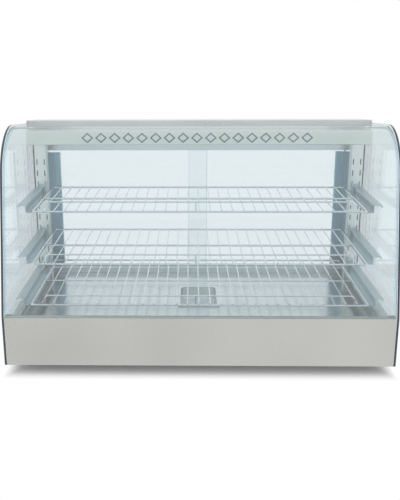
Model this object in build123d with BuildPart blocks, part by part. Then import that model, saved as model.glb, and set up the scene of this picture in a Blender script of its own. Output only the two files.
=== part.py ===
from build123d import *
import os
from math import cos, radians, tan

os.makedirs("parts", exist_ok=True)

# A countertop heated display case: a stainless base, glass sides, one bent front glass and two
# sliding glass doors at the back. Millimetres. X runs to the right, Y to the back, Z up. The
# front faces -Y and the origin is on the counter, under the middle of the case.

# Driving dimensions
WIDTH = 900.0
FRONT = -260.0
REAR = 240.0
BASE_BOTTOM = 27.0
BASE_TOP = 143.5
DECK_TOP = 107.0
SHEET = 1.2
GLASS = 5.0
GAP = 0.3

# Places worked out from them
HALF = WIDTH / 2
SIDE_GLASS_INNER = HALF - GLASS
PANEL_HALF = SIDE_GLASS_INNER - GAP
LEDGE = 14.0
LEDGE_INNER = PANEL_HALF - LEDGE
INNER_HALF = LEDGE_INNER - 1.0
RETURN = 15.0
BACK_PLANE = REAR - SHEET

SIDES = (("left", -1), ("right", 1))


# Outline of the case seen from the side: the corner (Y, Z) that the bent nose rounds off
NOSE = (FRONT + 97.0, 565.7)
NOSE_RADIUS = 128.0
KNEE_RADIUS = 40.0
CREST_SLOPE = tan(radians(5.2))

# Roof tray, sloping down to the back
ROOF_FRONT = FRONT + 381.0
ROOF_TOP = 547.4
ROOF_SKIRT = 15.7
ROOF_SLOPE = tan(radians(5.0))
NOTCH_Y = ROOF_FRONT - 0.6


def roof_height(y):
    """Height of the roof's top face at depth y."""
    return ROOF_TOP - (y - ROOF_FRONT) * ROOF_SLOPE


def crest_height(y):
    """Height of the case's top line at depth y, behind the bent nose."""
    return NOSE[1] - (y - NOSE[0]) * CREST_SLOPE


def folded(points, thickness=SHEET, side=Side.LEFT):
    """Section of a folded sheet that follows the points, thickened to one side."""
    with BuildLine() as section_line:
        Polyline(*points)
        offset(amount=thickness, side=side)
    make_face(section_line.edges())


# Side glasses, full height, notched under the roof lip
for name, sign in SIDES:
    with BuildPart() as side_glass:
        with BuildSketch(Plane.YZ.offset(sign * SIDE_GLASS_INNER)):
            with BuildLine():
                FilletPolyline(
                    (FRONT, BASE_BOTTOM), (FRONT, BASE_TOP), NOSE, (NOTCH_Y, crest_height(NOTCH_Y)),
                    radius=[KNEE_RADIUS, NOSE_RADIUS],
                )
                skirt_low = ROOF_SKIRT + 0.5
                Polyline(
                    (NOTCH_Y, crest_height(NOTCH_Y)),
                    (NOTCH_Y, roof_height(NOTCH_Y) - skirt_low),
                    (REAR - GAP, roof_height(REAR) - skirt_low),
                    (REAR - GAP, BASE_BOTTOM),
                    (FRONT, BASE_BOTTOM),
                )
            make_face()
        extrude(amount=sign * GLASS)
        chamfer(side_glass.edges().filter_by(Axis.X).filter_by(GeomType.LINE), length=0.8)
    side_glass.part.label = f"{name}_side_glass"
    export_step(side_glass.part, f"parts/{name}_side_glass.step")

# Bent front glass, a little inside the outline, from its channel to under the roof lip
FRONT_GLASS_INSET = 4.6
FRONT_GLASS_FOOT = 126.5
GLASS_FACE = FRONT + FRONT_GLASS_INSET
GLASS_BACK = GLASS_FACE + GLASS
GLASS_NOSE = (FRONT + 101.2, 563.8)
GLASS_NOSE_RADIUS = 124.0
GLASS_SLOPE = tan(radians(6.7))
GLASS_END = ROOF_FRONT + 12.0
GLASS_END_HEIGHT = GLASS_NOSE[1] - (GLASS_END - GLASS_NOSE[0]) * GLASS_SLOPE

with BuildPart() as front_glass:
    with BuildSketch(Plane.YZ.offset(-PANEL_HALF)):
        with BuildLine() as glass_line:
            FilletPolyline(
                (GLASS_FACE, FRONT_GLASS_FOOT), (GLASS_FACE, BASE_TOP - 0.5), GLASS_NOSE,
                (GLASS_END, GLASS_END_HEIGHT),
                radius=[KNEE_RADIUS - FRONT_GLASS_INSET, GLASS_NOSE_RADIUS],
            )
            offset(amount=GLASS, side=Side.RIGHT)
        make_face()
    extrude(amount=2 * PANEL_HALF)
front_glass.part.label = "front_glass"
export_step(front_glass.part, "parts/front_glass.step")

# Screws through the control panel into the bottom plate, and through the roof into the header
SCREW_HEAD = 4.0
SCREW_SHANK = 1.9
SCREW_HOLE = 2.0
PANEL_SCREW_Z = 34.0
PANEL_SCREWS = [(x, PANEL_SCREW_Z) for x in (-425, -220, 60, 425)]
ROOF_SCREW_Z = roof_height(REAR) - 7.0
ROOF_SCREWS = [(x, ROOF_SCREW_Z) for x in (-400, -135, 135, 400)]


def screw_holes(places):
    """Clearance holes through every rear sheet of the active part, at places (X, Z)."""
    with BuildSketch(Plane.XZ.offset(-REAR)) as holes:
        with Locations(*places):
            Circle(SCREW_HOLE)
    extrude(holes.sketch, amount=8.0, mode=Mode.SUBTRACT)


# Roof tray: one sheet folded down on all four sides
with BuildPart() as roof_panel:
    for inset, mode in ((0.0, Mode.ADD), (SHEET, Mode.SUBTRACT)):
        roof_low = ROOF_SKIRT + inset
        with BuildSketch(Plane.YZ.offset(-HALF + inset)):
            with BuildLine():
                Polyline(
                    (ROOF_FRONT + inset, roof_height(ROOF_FRONT + inset) - inset),
                    (REAR - inset, roof_height(REAR - inset) - inset),
                    (REAR - inset, roof_height(REAR) - roof_low),
                    (ROOF_FRONT + inset, roof_height(ROOF_FRONT) - roof_low),
                    close=True,
                )
            make_face()
        extrude(amount=WIDTH - 2 * inset, mode=mode)
    fillet(roof_panel.faces().sort_by(Axis.Z)[-1].outer_wire().edges(), radius=1.5)
    screw_holes(ROOF_SCREWS)
roof_panel.part.label = "roof_panel"
export_step(roof_panel.part, "parts/roof_panel.step")

# Front panel of the base: a skin with a short return at the top and a deep one at the bottom
SKIN_BACK = FRONT + SHEET
with BuildPart() as front_panel:
    with BuildSketch(Plane.YZ.offset(-PANEL_HALF)):
        folded([(FRONT, BASE_BOTTOM), (FRONT, BASE_TOP), (FRONT + 2.9, BASE_TOP)], side=Side.RIGHT)
    extrude(amount=2 * PANEL_HALF)
    with BuildSketch(Plane.XY.offset(BASE_BOTTOM)):
        with Locations((0, SKIN_BACK)):
            Rectangle(2 * INNER_HALF, RETURN, align=(Align.CENTER, Align.MIN))
    extrude(amount=SHEET)
    front_bends = front_panel.edges().filter_by(Axis.X).group_by(Axis.Y)[0]
    fillet(front_bends, radius=1.0)
front_panel.part.label = "front_panel"
export_step(front_panel.part, "parts/front_panel.step")

# Channel that grips the foot of the front glass, with an inner ledge and an apron to the deck
CHANNEL_FLOOR = FRONT_GLASS_FOOT - GAP
APRON = FRONT + 21.5
with BuildPart() as front_glass_channel:
    with BuildSketch(Plane.YZ.offset(-PANEL_HALF)):
        folded(
            [
                (GLASS_FACE - GAP, BASE_TOP - 0.5),
                (GLASS_FACE - GAP, CHANNEL_FLOOR),
                (GLASS_BACK + GAP, CHANNEL_FLOOR),
                (GLASS_BACK + GAP, BASE_TOP - SHEET),
                (APRON, BASE_TOP - SHEET),
                (APRON, DECK_TOP + GAP),
            ],
            side=Side.RIGHT,
        )
    extrude(amount=2 * PANEL_HALF)
front_glass_channel.part.label = "front_glass_channel"
export_step(front_glass_channel.part, "parts/front_glass_channel.step")

# Side panels of the base: outer wall, top ledge and an inner lip that runs down to the deck
SIDE_PANEL_FRONT = APRON + SHEET + GAP
for name, sign in SIDES:
    with BuildPart() as side_panel:
        with BuildSketch(Plane.XZ.offset(-SIDE_PANEL_FRONT)):
            folded(
                [
                    (sign * (PANEL_HALF - RETURN), BASE_BOTTOM),
                    (sign * PANEL_HALF, BASE_BOTTOM),
                    (sign * PANEL_HALF, BASE_TOP),
                    (sign * LEDGE_INNER, BASE_TOP),
                    (sign * LEDGE_INNER, DECK_TOP + GAP),
                ],
                side=Side.LEFT if sign > 0 else Side.RIGHT,
            )
        extrude(amount=-(BACK_PLANE - GAP - SIDE_PANEL_FRONT))
    side_panel.part.label = f"{name}_side_panel"
    export_step(side_panel.part, f"parts/{name}_side_panel.step")

# Polished deck, an upside-down tray with the opening for the water pan
DECK_FRONT = APRON - SHEET
SILL_FRONT = 196.0
PAN_X = 0.5
PAN_Y = -9.5
PAN_WIDTH = 105.0
PAN_DEPTH = 151.0
PAN_RIM = 5.5
PAN_RIM_CORNER = 8.0
PAN_CORNER = 14.0
PAN_HEIGHT = 34.0
PAN_TOP = DECK_TOP + 3.5
PAN_DRAFT = 5.0
DECK_FLANGE = 12.0

with BuildPart() as deck_plate:
    with BuildSketch(Plane.XY.offset(DECK_TOP)):
        with Locations((0, DECK_FRONT)):
            Rectangle(2 * INNER_HALF, SILL_FRONT - GAP - DECK_FRONT, align=(Align.CENTER, Align.MIN))
    extrude(amount=-DECK_FLANGE)
    offset(amount=-SHEET, openings=deck_plate.faces().sort_by(Axis.Z)[0])
    with BuildSketch(Plane.XY.offset(DECK_TOP)):
        with Locations((PAN_X, PAN_Y)):
            RectangleRounded(PAN_WIDTH - 2 * PAN_RIM + 2, PAN_DEPTH - 2 * PAN_RIM + 2, PAN_CORNER)
    extrude(amount=-2 * SHEET, mode=Mode.SUBTRACT)
deck_plate.part.label = "deck_plate"
export_step(deck_plate.part, "parts/deck_plate.step")

# Water pan with drafted walls and a turned-down rim, dropped into the deck
PAN_WALL = 1.0
with BuildPart() as pan_cavity:
    with BuildSketch(Plane.XY.offset(PAN_TOP)):
        with Locations((PAN_X, PAN_Y)):
            RectangleRounded(
                PAN_WIDTH - 2 * (PAN_RIM + PAN_WALL), PAN_DEPTH - 2 * (PAN_RIM + PAN_WALL),
                PAN_CORNER - 2,
            )
    extrude(amount=-(PAN_HEIGHT - PAN_WALL), taper=PAN_DRAFT)
    fillet(pan_cavity.faces().sort_by(Axis.Z)[0].edges(), radius=5.0)

with BuildPart() as water_pan:
    with BuildSketch(Plane.XY.offset(PAN_TOP)):
        with Locations((PAN_X, PAN_Y)):
            RectangleRounded(PAN_WIDTH - 2 * PAN_RIM, PAN_DEPTH - 2 * PAN_RIM, PAN_CORNER - 1)
    extrude(amount=-PAN_HEIGHT, taper=PAN_DRAFT)
    fillet(water_pan.faces().sort_by(Axis.Z)[0].edges(), radius=6.0)
    add(pan_cavity.part, mode=Mode.SUBTRACT)
    with BuildSketch(Plane.XY.offset(PAN_TOP)):
        with Locations((PAN_X, PAN_Y)):
            RectangleRounded(PAN_WIDTH, PAN_DEPTH, PAN_RIM_CORNER)
            RectangleRounded(
                PAN_WIDTH - 2 * PAN_RIM - 1, PAN_DEPTH - 2 * PAN_RIM - 1, PAN_CORNER - 1.5,
                mode=Mode.SUBTRACT,
            )
    extrude(amount=-1.0)
    with BuildSketch(Plane.XY.offset(PAN_TOP)):
        with Locations((PAN_X, PAN_Y)):
            RectangleRounded(PAN_WIDTH, PAN_DEPTH, PAN_RIM_CORNER)
            RectangleRounded(
                PAN_WIDTH - 2, PAN_DEPTH - 2, PAN_RIM_CORNER - 1, mode=Mode.SUBTRACT
            )
    extrude(amount=-(PAN_TOP - DECK_TOP - GAP))
water_pan.part.label = "water_pan"
export_step(water_pan.part, "parts/water_pan.step")

# Bottom plate, a shallow tray with air slots under the heaters
BOTTOM_PLATE = BASE_BOTTOM + SHEET + 0.2
FOOT_X = 398.0
FOOT_Y = 180.0
with BuildPart() as bottom_plate:
    with BuildSketch(Plane.XY.offset(BOTTOM_PLATE)):
        with Locations((0, (FRONT + REAR) / 2)):
            Rectangle(2 * (PANEL_HALF - 2), REAR - FRONT - 6)
    extrude(amount=10.0)
    offset(amount=-SHEET, openings=bottom_plate.faces().sort_by(Axis.Z)[-1])
    with BuildSketch(Plane.XY.offset(BOTTOM_PLATE)):
        with Locations((-240, 0), (240, 0)):
            with GridLocations(0, 24, 1, 5):
                Rectangle(160, 5)
        with GridLocations(2 * FOOT_X, 2 * FOOT_Y, 2, 2):
            Circle(2.6)
    extrude(amount=SHEET, mode=Mode.SUBTRACT)
    screw_holes(PANEL_SCREWS)
bottom_plate.part.label = "bottom_plate"
export_step(bottom_plate.part, "parts/bottom_plate.step")

# Rubber feet and the screws that hold them
FOOT_RADIUS = 19.0
FOOT_TOP = BOTTOM_PLATE - 0.1
for depth_name, y in (("front", -FOOT_Y), ("rear", FOOT_Y)):
    for side_name, sign in SIDES:
        with BuildPart() as foot:
            with BuildSketch(Plane.XZ.offset(-y)):
                with BuildLine():
                    x = sign * FOOT_X
                    Polyline(
                        (x, FOOT_TOP), (x + FOOT_RADIUS, FOOT_TOP), (x + FOOT_RADIUS - 3, 3),
                        (x + FOOT_RADIUS - 6, 0), (x + 8, 0), (x + 8, 6), (x, 6), close=True,
                    )
                make_face()
            revolve(axis=Axis((x, y, 0), (0, 0, 1)))
            with BuildSketch(Plane.XY.offset(6)):
                with Locations((x, y)):
                    Circle(2.6)
            extrude(amount=FOOT_TOP - 6, mode=Mode.SUBTRACT)
        foot.part.label = f"{depth_name}_{side_name}_foot"
        export_step(foot.part, f"parts/{depth_name}_{side_name}_foot.step")

with BuildPart() as foot_screws:
    with BuildSketch(Plane.XY.offset(3.2)):
        with GridLocations(2 * FOOT_X, 2 * FOOT_Y, 2, 2):
            Circle(5.0)
    extrude(amount=2.7)
    with BuildSketch(Plane.XY.offset(5.0)):
        with GridLocations(2 * FOOT_X, 2 * FOOT_Y, 2, 2):
            Circle(2.4)
    extrude(amount=30.0)
foot_screws.part.label = "foot_screws"
export_step(foot_screws.part, "parts/foot_screws.step")

# Rear control panel of the base, with its openings and louvres
CONTROL_Z = 70.0
KNOB_X = 250.0
POWER_X = 340.0
LAMP_X = 385.0
INDICATOR_X = 195.0
GLAND_X = -360.0
GLAND_BORE = 8.0
SWITCH_WIDTH = 22.0
SWITCH_HEIGHT = 28.0
RETURN_FRONT = 196.5
with BuildPart() as rear_control_panel:
    with BuildSketch(Plane.YZ.offset(-PANEL_HALF)):
        folded([(REAR, BASE_BOTTOM), (REAR, DECK_TOP), (RETURN_FRONT, DECK_TOP)], side=Side.LEFT)
    extrude(amount=2 * PANEL_HALF)
    with BuildSketch(Plane.XZ.offset(-REAR)):
        with Locations((POWER_X, CONTROL_Z), (LAMP_X, CONTROL_Z)):
            Rectangle(SWITCH_WIDTH, SWITCH_HEIGHT)
        with Locations((KNOB_X, CONTROL_Z), (INDICATOR_X, CONTROL_Z)):
            Circle(5.5)
        with Locations((GLAND_X, CONTROL_Z)):
            Circle(GLAND_BORE)
        with Locations((-120, CONTROL_Z)):
            with GridLocations(0, 9, 1, 5):
                Rectangle(150, 3)
    extrude(amount=2 * SHEET, mode=Mode.SUBTRACT)
    with BuildSketch(Plane.XY.offset(DECK_TOP)):
        with Locations((-PANEL_HALF, RETURN_FRONT), (PANEL_HALF, RETURN_FRONT)):
            Rectangle(2 * (PANEL_HALF - INNER_HALF), 2 * (BACK_PLANE - RETURN_FRONT))
    extrude(amount=-SHEET, mode=Mode.SUBTRACT)
    screw_holes(PANEL_SCREWS)
rear_control_panel.part.label = "rear_control_panel"
export_step(rear_control_panel.part, "parts/rear_control_panel.step")

# Slotted uprights: box sections with two columns of slots for the bracket hooks
UPRIGHT_FACE = 126.0
UPRIGHT_DEPTH = 25.0
UPRIGHT_OUTER = 435.2
UPRIGHT_WIDTH = 32.0
UPRIGHT_WALL = 1.5
UPRIGHT_X = UPRIGHT_OUTER - UPRIGHT_WIDTH / 2
SLOT_PITCH = 30.0
SLOT_HEIGHT = 15.0
SLOT_WIDTH = 2.6
SLOT_COLUMNS = 19.5
SLOT_ROWS = 10
FIRST_SLOT = 167.0
HOUSING_BOTTOM = 487.5
UPRIGHT_BOTTOM = DECK_TOP + 0.2
SLOT_CENTRE = FIRST_SLOT + SLOT_PITCH * (SLOT_ROWS - 1) / 2
for name, sign in SIDES:
    with BuildPart() as upright:
        with BuildSketch(Plane.XY.offset(UPRIGHT_BOTTOM)):
            with Locations((sign * UPRIGHT_X, UPRIGHT_FACE + UPRIGHT_DEPTH / 2)):
                RectangleRounded(UPRIGHT_WIDTH, UPRIGHT_DEPTH, 1.5)
                Rectangle(
                    UPRIGHT_WIDTH - 2 * UPRIGHT_WALL, UPRIGHT_DEPTH - 2 * UPRIGHT_WALL,
                    mode=Mode.SUBTRACT,
                )
        extrude(amount=HOUSING_BOTTOM - 0.2 - UPRIGHT_BOTTOM)
        with BuildSketch(Plane.XZ.offset(-UPRIGHT_FACE)):
            with Locations((sign * UPRIGHT_X, SLOT_CENTRE)):
                with GridLocations(SLOT_COLUMNS, SLOT_PITCH, 2, SLOT_ROWS):
                    Rectangle(SLOT_WIDTH, SLOT_HEIGHT)
        extrude(amount=-UPRIGHT_WALL, mode=Mode.SUBTRACT)
        # Notch at the foot, over the ledge of the side panel
        with BuildSketch(Plane.XY.offset(UPRIGHT_BOTTOM)):
            with Locations((sign * (HALF + INNER_HALF) / 2, UPRIGHT_FACE)):
                Rectangle(HALF - INNER_HALF, 3 * UPRIGHT_DEPTH)
        extrude(amount=BASE_TOP + 0.2 - UPRIGHT_BOTTOM, mode=Mode.SUBTRACT)
    upright.part.label = f"{name}_upright"
    export_step(upright.part, f"parts/{name}_upright.step")

# Three tiers: name, height of the shelf's frame wire, front of the shelf and of its brackets
TIERS = (
    ("upper", 356.0, -108.0, -105.0),
    ("middle", 236.0, -143.5, -129.0),
    ("lower", 146.0, -180.0, -171.0),
)
SHELF_REAR = 189.0
SHELF_HALF = 402.0
FRAME_WIRE = 5.0
CROSS_WIRE = 3.2
CROSS_PITCH = (SHELF_HALF - FRAME_WIRE / 2) / 15
CROSS_COUNT = 29
WELD = 0.5
GUARD_HEIGHT = 23.6
GUARD_HALF = 365.0
GUARD_WIRE = 4.0
GUARD_CORNER = 9.0
STRUT_X = -8.0

# Shelf brackets: a channel open below, a ledge under the shelf, and a back plate with two hooks
BRACKET_SHEET = 1.4
WEB_X = 415.0
LIP_X = UPRIGHT_OUTER - 1.0
BRACKET_RISE = 14.5
LIP_DROP = 6.0
SHELF_LEDGE = 20.0
HOOK_OFFSET = 21.0
HOOK_LENGTH = 5.0
EAR_LENGTH = 12.0
BACK_PLATE_RISE = 7.5
BRACKET_BACK = UPRIGHT_FACE - 0.2
for tier, shelf_z, shelf_front, bracket_front in TIERS:
    for name, sign in SIDES:
        ledge_z = shelf_z - FRAME_WIRE / 2 - GAP
        top_z = shelf_z + BRACKET_RISE
        hook_z = shelf_z + HOOK_OFFSET
        half = BRACKET_SHEET / 2
        with BuildPart() as bracket:
            with BuildSketch(Plane.XZ.offset(-bracket_front)):
                folded(
                    [
                        (sign * (LIP_X + half), top_z - LIP_DROP),
                        (sign * (LIP_X + half), top_z),
                        (sign * (WEB_X - half), top_z),
                        (sign * (WEB_X - half), ledge_z),
                        (sign * (WEB_X - SHELF_LEDGE), ledge_z),
                    ],
                    thickness=BRACKET_SHEET,
                    side=Side.LEFT if sign > 0 else Side.RIGHT,
                )
            extrude(amount=-(BRACKET_BACK - bracket_front))
            with BuildSketch(Plane.XZ.offset(-BRACKET_BACK)):
                with Locations((sign * UPRIGHT_X, top_z - LIP_DROP)):
                    Rectangle(
                        SLOT_COLUMNS, LIP_DROP + BACK_PLATE_RISE, align=(Align.CENTER, Align.MIN)
                    )
            extrude(amount=BRACKET_SHEET)
            # An ear with a hook stands on the ledge, and one in the channel rises through its top
            for column, ear_foot in ((-0.5, ledge_z - half), (0.5, top_z - LIP_DROP)):
                ear_x = sign * (UPRIGHT_X + column * SLOT_COLUMNS)
                with BuildSketch(Plane.YZ.offset(ear_x - half)):
                    with BuildLine():
                        Polyline(
                            (BRACKET_BACK - EAR_LENGTH, ear_foot),
                            (BRACKET_BACK, ear_foot),
                            (BRACKET_BACK, hook_z - 3.5),
                            (BRACKET_BACK + UPRIGHT_WALL + 0.6, hook_z - 3.5),
                            (BRACKET_BACK + UPRIGHT_WALL + 0.6, hook_z - 5.8),
                            (BRACKET_BACK + HOOK_LENGTH, hook_z - 5.8),
                            (BRACKET_BACK + HOOK_LENGTH, hook_z + 5.2),
                            (BRACKET_BACK - EAR_LENGTH / 2, hook_z + 5.2),
                            (BRACKET_BACK - EAR_LENGTH, top_z + BRACKET_SHEET),
                            close=True,
                        )
                    make_face()
                extrude(amount=BRACKET_SHEET)
        bracket.part.label = f"{tier}_{name}_bracket"
        export_step(bracket.part, f"parts/{tier}_{name}_bracket.step")

# Wire shelves: an eight-sided frame ring and middle rail, with thinner six-sided cross wires
FLAT_OF_HEX = CROSS_WIRE / 2 * cos(radians(30))
OCTAGON_RADIUS = FRAME_WIRE / 2 / cos(radians(22.5))
OCTAGON_CORNER = FRAME_WIRE / 2 * (1 - tan(radians(22.5)))
for tier, shelf_z, shelf_front, _ in TIERS:
    shelf_depth = SHELF_REAR - shelf_front
    shelf_y = (SHELF_REAR + shelf_front) / 2
    with BuildPart() as shelf:
        with BuildSketch(Plane.XY.offset(shelf_z - FRAME_WIRE / 2)):
            with Locations((0, shelf_y)):
                RectangleRounded(2 * SHELF_HALF, shelf_depth + FRAME_WIRE, 10)
                RectangleRounded(
                    2 * (SHELF_HALF - FRAME_WIRE), shelf_depth - FRAME_WIRE, 10 - FRAME_WIRE,
                    mode=Mode.SUBTRACT,
                )
        extrude(amount=FRAME_WIRE)
        level_edges = shelf.edges().filter_by(Axis.Z, reverse=True)
        chamfer(level_edges, length=OCTAGON_CORNER)
        with BuildSketch(Plane.YZ.offset(-(SHELF_HALF - FRAME_WIRE))):
            with Locations((shelf_y, shelf_z)):
                RegularPolygon(OCTAGON_RADIUS, 8, rotation=22.5)
        extrude(amount=2 * (SHELF_HALF - FRAME_WIRE))
        cross_z = shelf_z + FRAME_WIRE / 2 + FLAT_OF_HEX - WELD
        with BuildSketch(Plane.XZ.offset(-(shelf_front - FRAME_WIRE / 2))):
            with Locations((0, cross_z)):
                with GridLocations(CROSS_PITCH, 0, CROSS_COUNT, 1):
                    RegularPolygon(CROSS_WIRE / 2, 6)
        extrude(amount=-(shelf_depth + FRAME_WIRE))
    shelf.part.label = f"{tier}_shelf"
    export_step(shelf.part, f"parts/{tier}_shelf.step")

    # Guard wire welded on the front of the shelf, so that nothing slides off it
    guard_foot = shelf_z + FRAME_WIRE / 2 - WELD
    guard_top = shelf_z + GUARD_HEIGHT
    with BuildPart() as guard:
        with BuildLine():
            guard_path = FilletPolyline(
                (-GUARD_HALF, shelf_front, guard_foot),
                (-GUARD_HALF, shelf_front, guard_top),
                (GUARD_HALF, shelf_front, guard_top),
                (GUARD_HALF, shelf_front, guard_foot),
                radius=GUARD_CORNER,
            )
        with BuildSketch(Plane(guard_path @ 0, z_dir=guard_path % 0)):
            RegularPolygon(GUARD_WIRE / 2, 8)
        sweep()
        with BuildSketch(Plane.XY.offset(guard_foot)):
            with Locations((STRUT_X, shelf_front)):
                RegularPolygon(GUARD_WIRE / 2, 8)
        extrude(amount=guard_top - guard_foot)
    guard.part.label = f"{tier}_shelf_guard"
    export_step(guard.part, f"parts/{tier}_shelf_guard.step")

# Rear posts that carry the side glasses and the lamp housing
POST_FRONT = 197.0
POST_INNER = 431.0
POST_TOP = roof_height(POST_FRONT) - ROOF_SKIRT - 1.0
for name, sign in SIDES:
    with BuildPart() as post:
        with BuildSketch(Plane.XY.offset(BASE_TOP + 0.2)):
            folded(
                [
                    (sign * PANEL_HALF, POST_FRONT),
                    (sign * POST_INNER, POST_FRONT),
                    (sign * POST_INNER, BACK_PLANE - GAP),
                    (sign * PANEL_HALF, BACK_PLANE - GAP),
                ],
                side=Side.RIGHT if sign > 0 else Side.LEFT,
            )
        extrude(amount=POST_TOP - BASE_TOP)
    post.part.label = f"{name}_rear_post"
    export_step(post.part, f"parts/{name}_rear_post.step")

# Lamp housing: its front is the valance across the top of the case, its floor has a lamp opening
HOUSING_FRONT = 83.0
HOUSING_BACK = 196.0
HOUSING_TOP = 524.0
LAMP_Y = 140.0
LAMP_Z = 508.0
LAMP_OPENING = (780.0, 66.0)
with BuildPart() as lamp_housing:
    with BuildSketch(Plane.XY.offset(HOUSING_BOTTOM)):
        with Locations((0, HOUSING_FRONT)):
            Rectangle(2 * PANEL_HALF, HOUSING_BACK - HOUSING_FRONT, align=(Align.CENTER, Align.MIN))
    extrude(amount=HOUSING_TOP - HOUSING_BOTTOM)
    fillet(lamp_housing.edges().filter_by(Axis.X).group_by(Axis.Y)[0].sort_by(Axis.Z)[0], radius=2.5)
    offset(amount=-SHEET, openings=lamp_housing.faces().sort_by(Axis.Z)[-1])
    # The valance is stiffened by a return along its top edge
    with BuildSketch(Plane.XY.offset(HOUSING_TOP)):
        with Locations((0, HOUSING_FRONT)):
            Rectangle(2 * PANEL_HALF, RETURN, align=(Align.CENTER, Align.MIN))
    extrude(amount=-SHEET)
    with BuildSketch(Plane.XY.offset(HOUSING_BOTTOM)):
        with Locations((0, LAMP_Y)):
            Rectangle(*LAMP_OPENING)
    extrude(amount=SHEET, mode=Mode.SUBTRACT)
lamp_housing.part.label = "lamp_housing"
export_step(lamp_housing.part, "parts/lamp_housing.step")

with BuildPart() as lamp_diffuser:
    with BuildSketch(Plane.XY.offset(HOUSING_BOTTOM + SHEET)):
        with Locations((0, LAMP_Y)):
            Rectangle(LAMP_OPENING[0] + 20, LAMP_OPENING[1] + 14)
    extrude(amount=3.0)
lamp_diffuser.part.label = "lamp_diffuser"
export_step(lamp_diffuser.part, "parts/lamp_diffuser.step")

# Lamp tube with end caps and pins, and the two sockets that hold it
LAMP_LENGTH = 720.0
LAMP_RADIUS = 8.0
CAP_LENGTH = 18.0
with BuildPart() as lamp_tube:
    with BuildSketch(Plane.YZ.offset(-LAMP_LENGTH / 2)):
        with Locations((LAMP_Y, LAMP_Z)):
            Circle(LAMP_RADIUS)
    extrude(amount=LAMP_LENGTH)
    with BuildSketch(Plane.YZ.offset(-LAMP_LENGTH / 2), Plane.YZ.offset(LAMP_LENGTH / 2 - CAP_LENGTH)):
        with Locations((LAMP_Y, LAMP_Z)):
            Circle(LAMP_RADIUS + 0.8)
    extrude(amount=CAP_LENGTH)
    with BuildSketch(Plane.YZ.offset(-LAMP_LENGTH / 2 - 7)):
        with Locations((LAMP_Y - 3.5, LAMP_Z), (LAMP_Y + 3.5, LAMP_Z)):
            Circle(1.1)
    extrude(amount=LAMP_LENGTH + 14)
lamp_tube.part.label = "lamp_tube"
export_step(lamp_tube.part, "parts/lamp_tube.step")

with BuildPart() as lamp_sockets:
    for sign in (-1, 1):
        socket_face = sign * (LAMP_LENGTH / 2 + 0.2)
        with BuildSketch(Plane.YZ.offset(socket_face)):
            with Locations((LAMP_Y, LAMP_Z + 1)):
                RectangleRounded(24, 28, 5)
        extrude(amount=sign * 14)
        with BuildSketch(Plane.YZ.offset(socket_face)):
            with Locations((LAMP_Y, LAMP_Z)):
                SlotOverall(12, 3.4)
        extrude(amount=sign * 9, mode=Mode.SUBTRACT)
lamp_sockets.part.label = "lamp_sockets"
export_step(lamp_sockets.part, "parts/lamp_sockets.step")

# Header behind the lamp housing, and the two door tracks
TRACK_HALF = INNER_HALF + 1.0
TRACK_FRONT = 196.4
TRACK_BACK = 232.0
TOP_TRACK_BOTTOM = 457.3
SILL_TOP = 124.0
INNER_DOOR_Y = 206.0
OUTER_DOOR_Y = 220.0
GROOVE = 7.0
HEADER_TOP = roof_height(BACK_PLANE) - SHEET - 0.6
with BuildPart() as rear_header:
    with BuildSketch(Plane.YZ.offset(-TRACK_HALF)):
        folded(
            [
                (TRACK_FRONT, HOUSING_BOTTOM),
                (BACK_PLANE - GAP, HOUSING_BOTTOM),
                (BACK_PLANE - GAP, HEADER_TOP),
                (TRACK_FRONT + 18, HEADER_TOP),
            ],
            side=Side.LEFT,
        )
    extrude(amount=2 * TRACK_HALF)
    screw_holes(ROOF_SCREWS)
rear_header.part.label = "rear_header"
export_step(rear_header.part, "parts/rear_header.step")

with BuildPart() as door_top_track:
    with BuildSketch(Plane.YZ.offset(-TRACK_HALF)):
        with Locations(((TRACK_FRONT + TRACK_BACK) / 2, (TOP_TRACK_BOTTOM + HOUSING_BOTTOM) / 2)):
            Rectangle(TRACK_BACK - TRACK_FRONT, HOUSING_BOTTOM - 0.2 - TOP_TRACK_BOTTOM)
        with Locations((INNER_DOOR_Y, TOP_TRACK_BOTTOM), (OUTER_DOOR_Y, TOP_TRACK_BOTTOM)):
            Rectangle(GROOVE, 22, align=(Align.CENTER, Align.MIN), mode=Mode.SUBTRACT)
    extrude(amount=2 * TRACK_HALF)
door_top_track.part.label = "door_top_track"
export_step(door_top_track.part, "parts/door_top_track.step")

GROOVE_FLOOR = SILL_TOP - 9.0
with BuildPart() as door_sill:
    with BuildSketch(Plane.YZ.offset(-INNER_HALF)):
        with BuildLine():
            Polyline(
                (SILL_FRONT, DECK_TOP + 0.2), (SILL_FRONT, SILL_TOP - 4), (SILL_FRONT + 3, SILL_TOP),
                (TRACK_BACK, SILL_TOP), (TRACK_BACK, DECK_TOP + 0.2), close=True,
            )
        make_face()
        with Locations((INNER_DOOR_Y, GROOVE_FLOOR), (OUTER_DOOR_Y, GROOVE_FLOOR)):
            Rectangle(GROOVE, 12, align=(Align.CENTER, Align.MIN), mode=Mode.SUBTRACT)
    extrude(amount=2 * INNER_HALF)
door_sill.part.label = "door_sill"
export_step(door_sill.part, "parts/door_sill.step")

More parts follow.
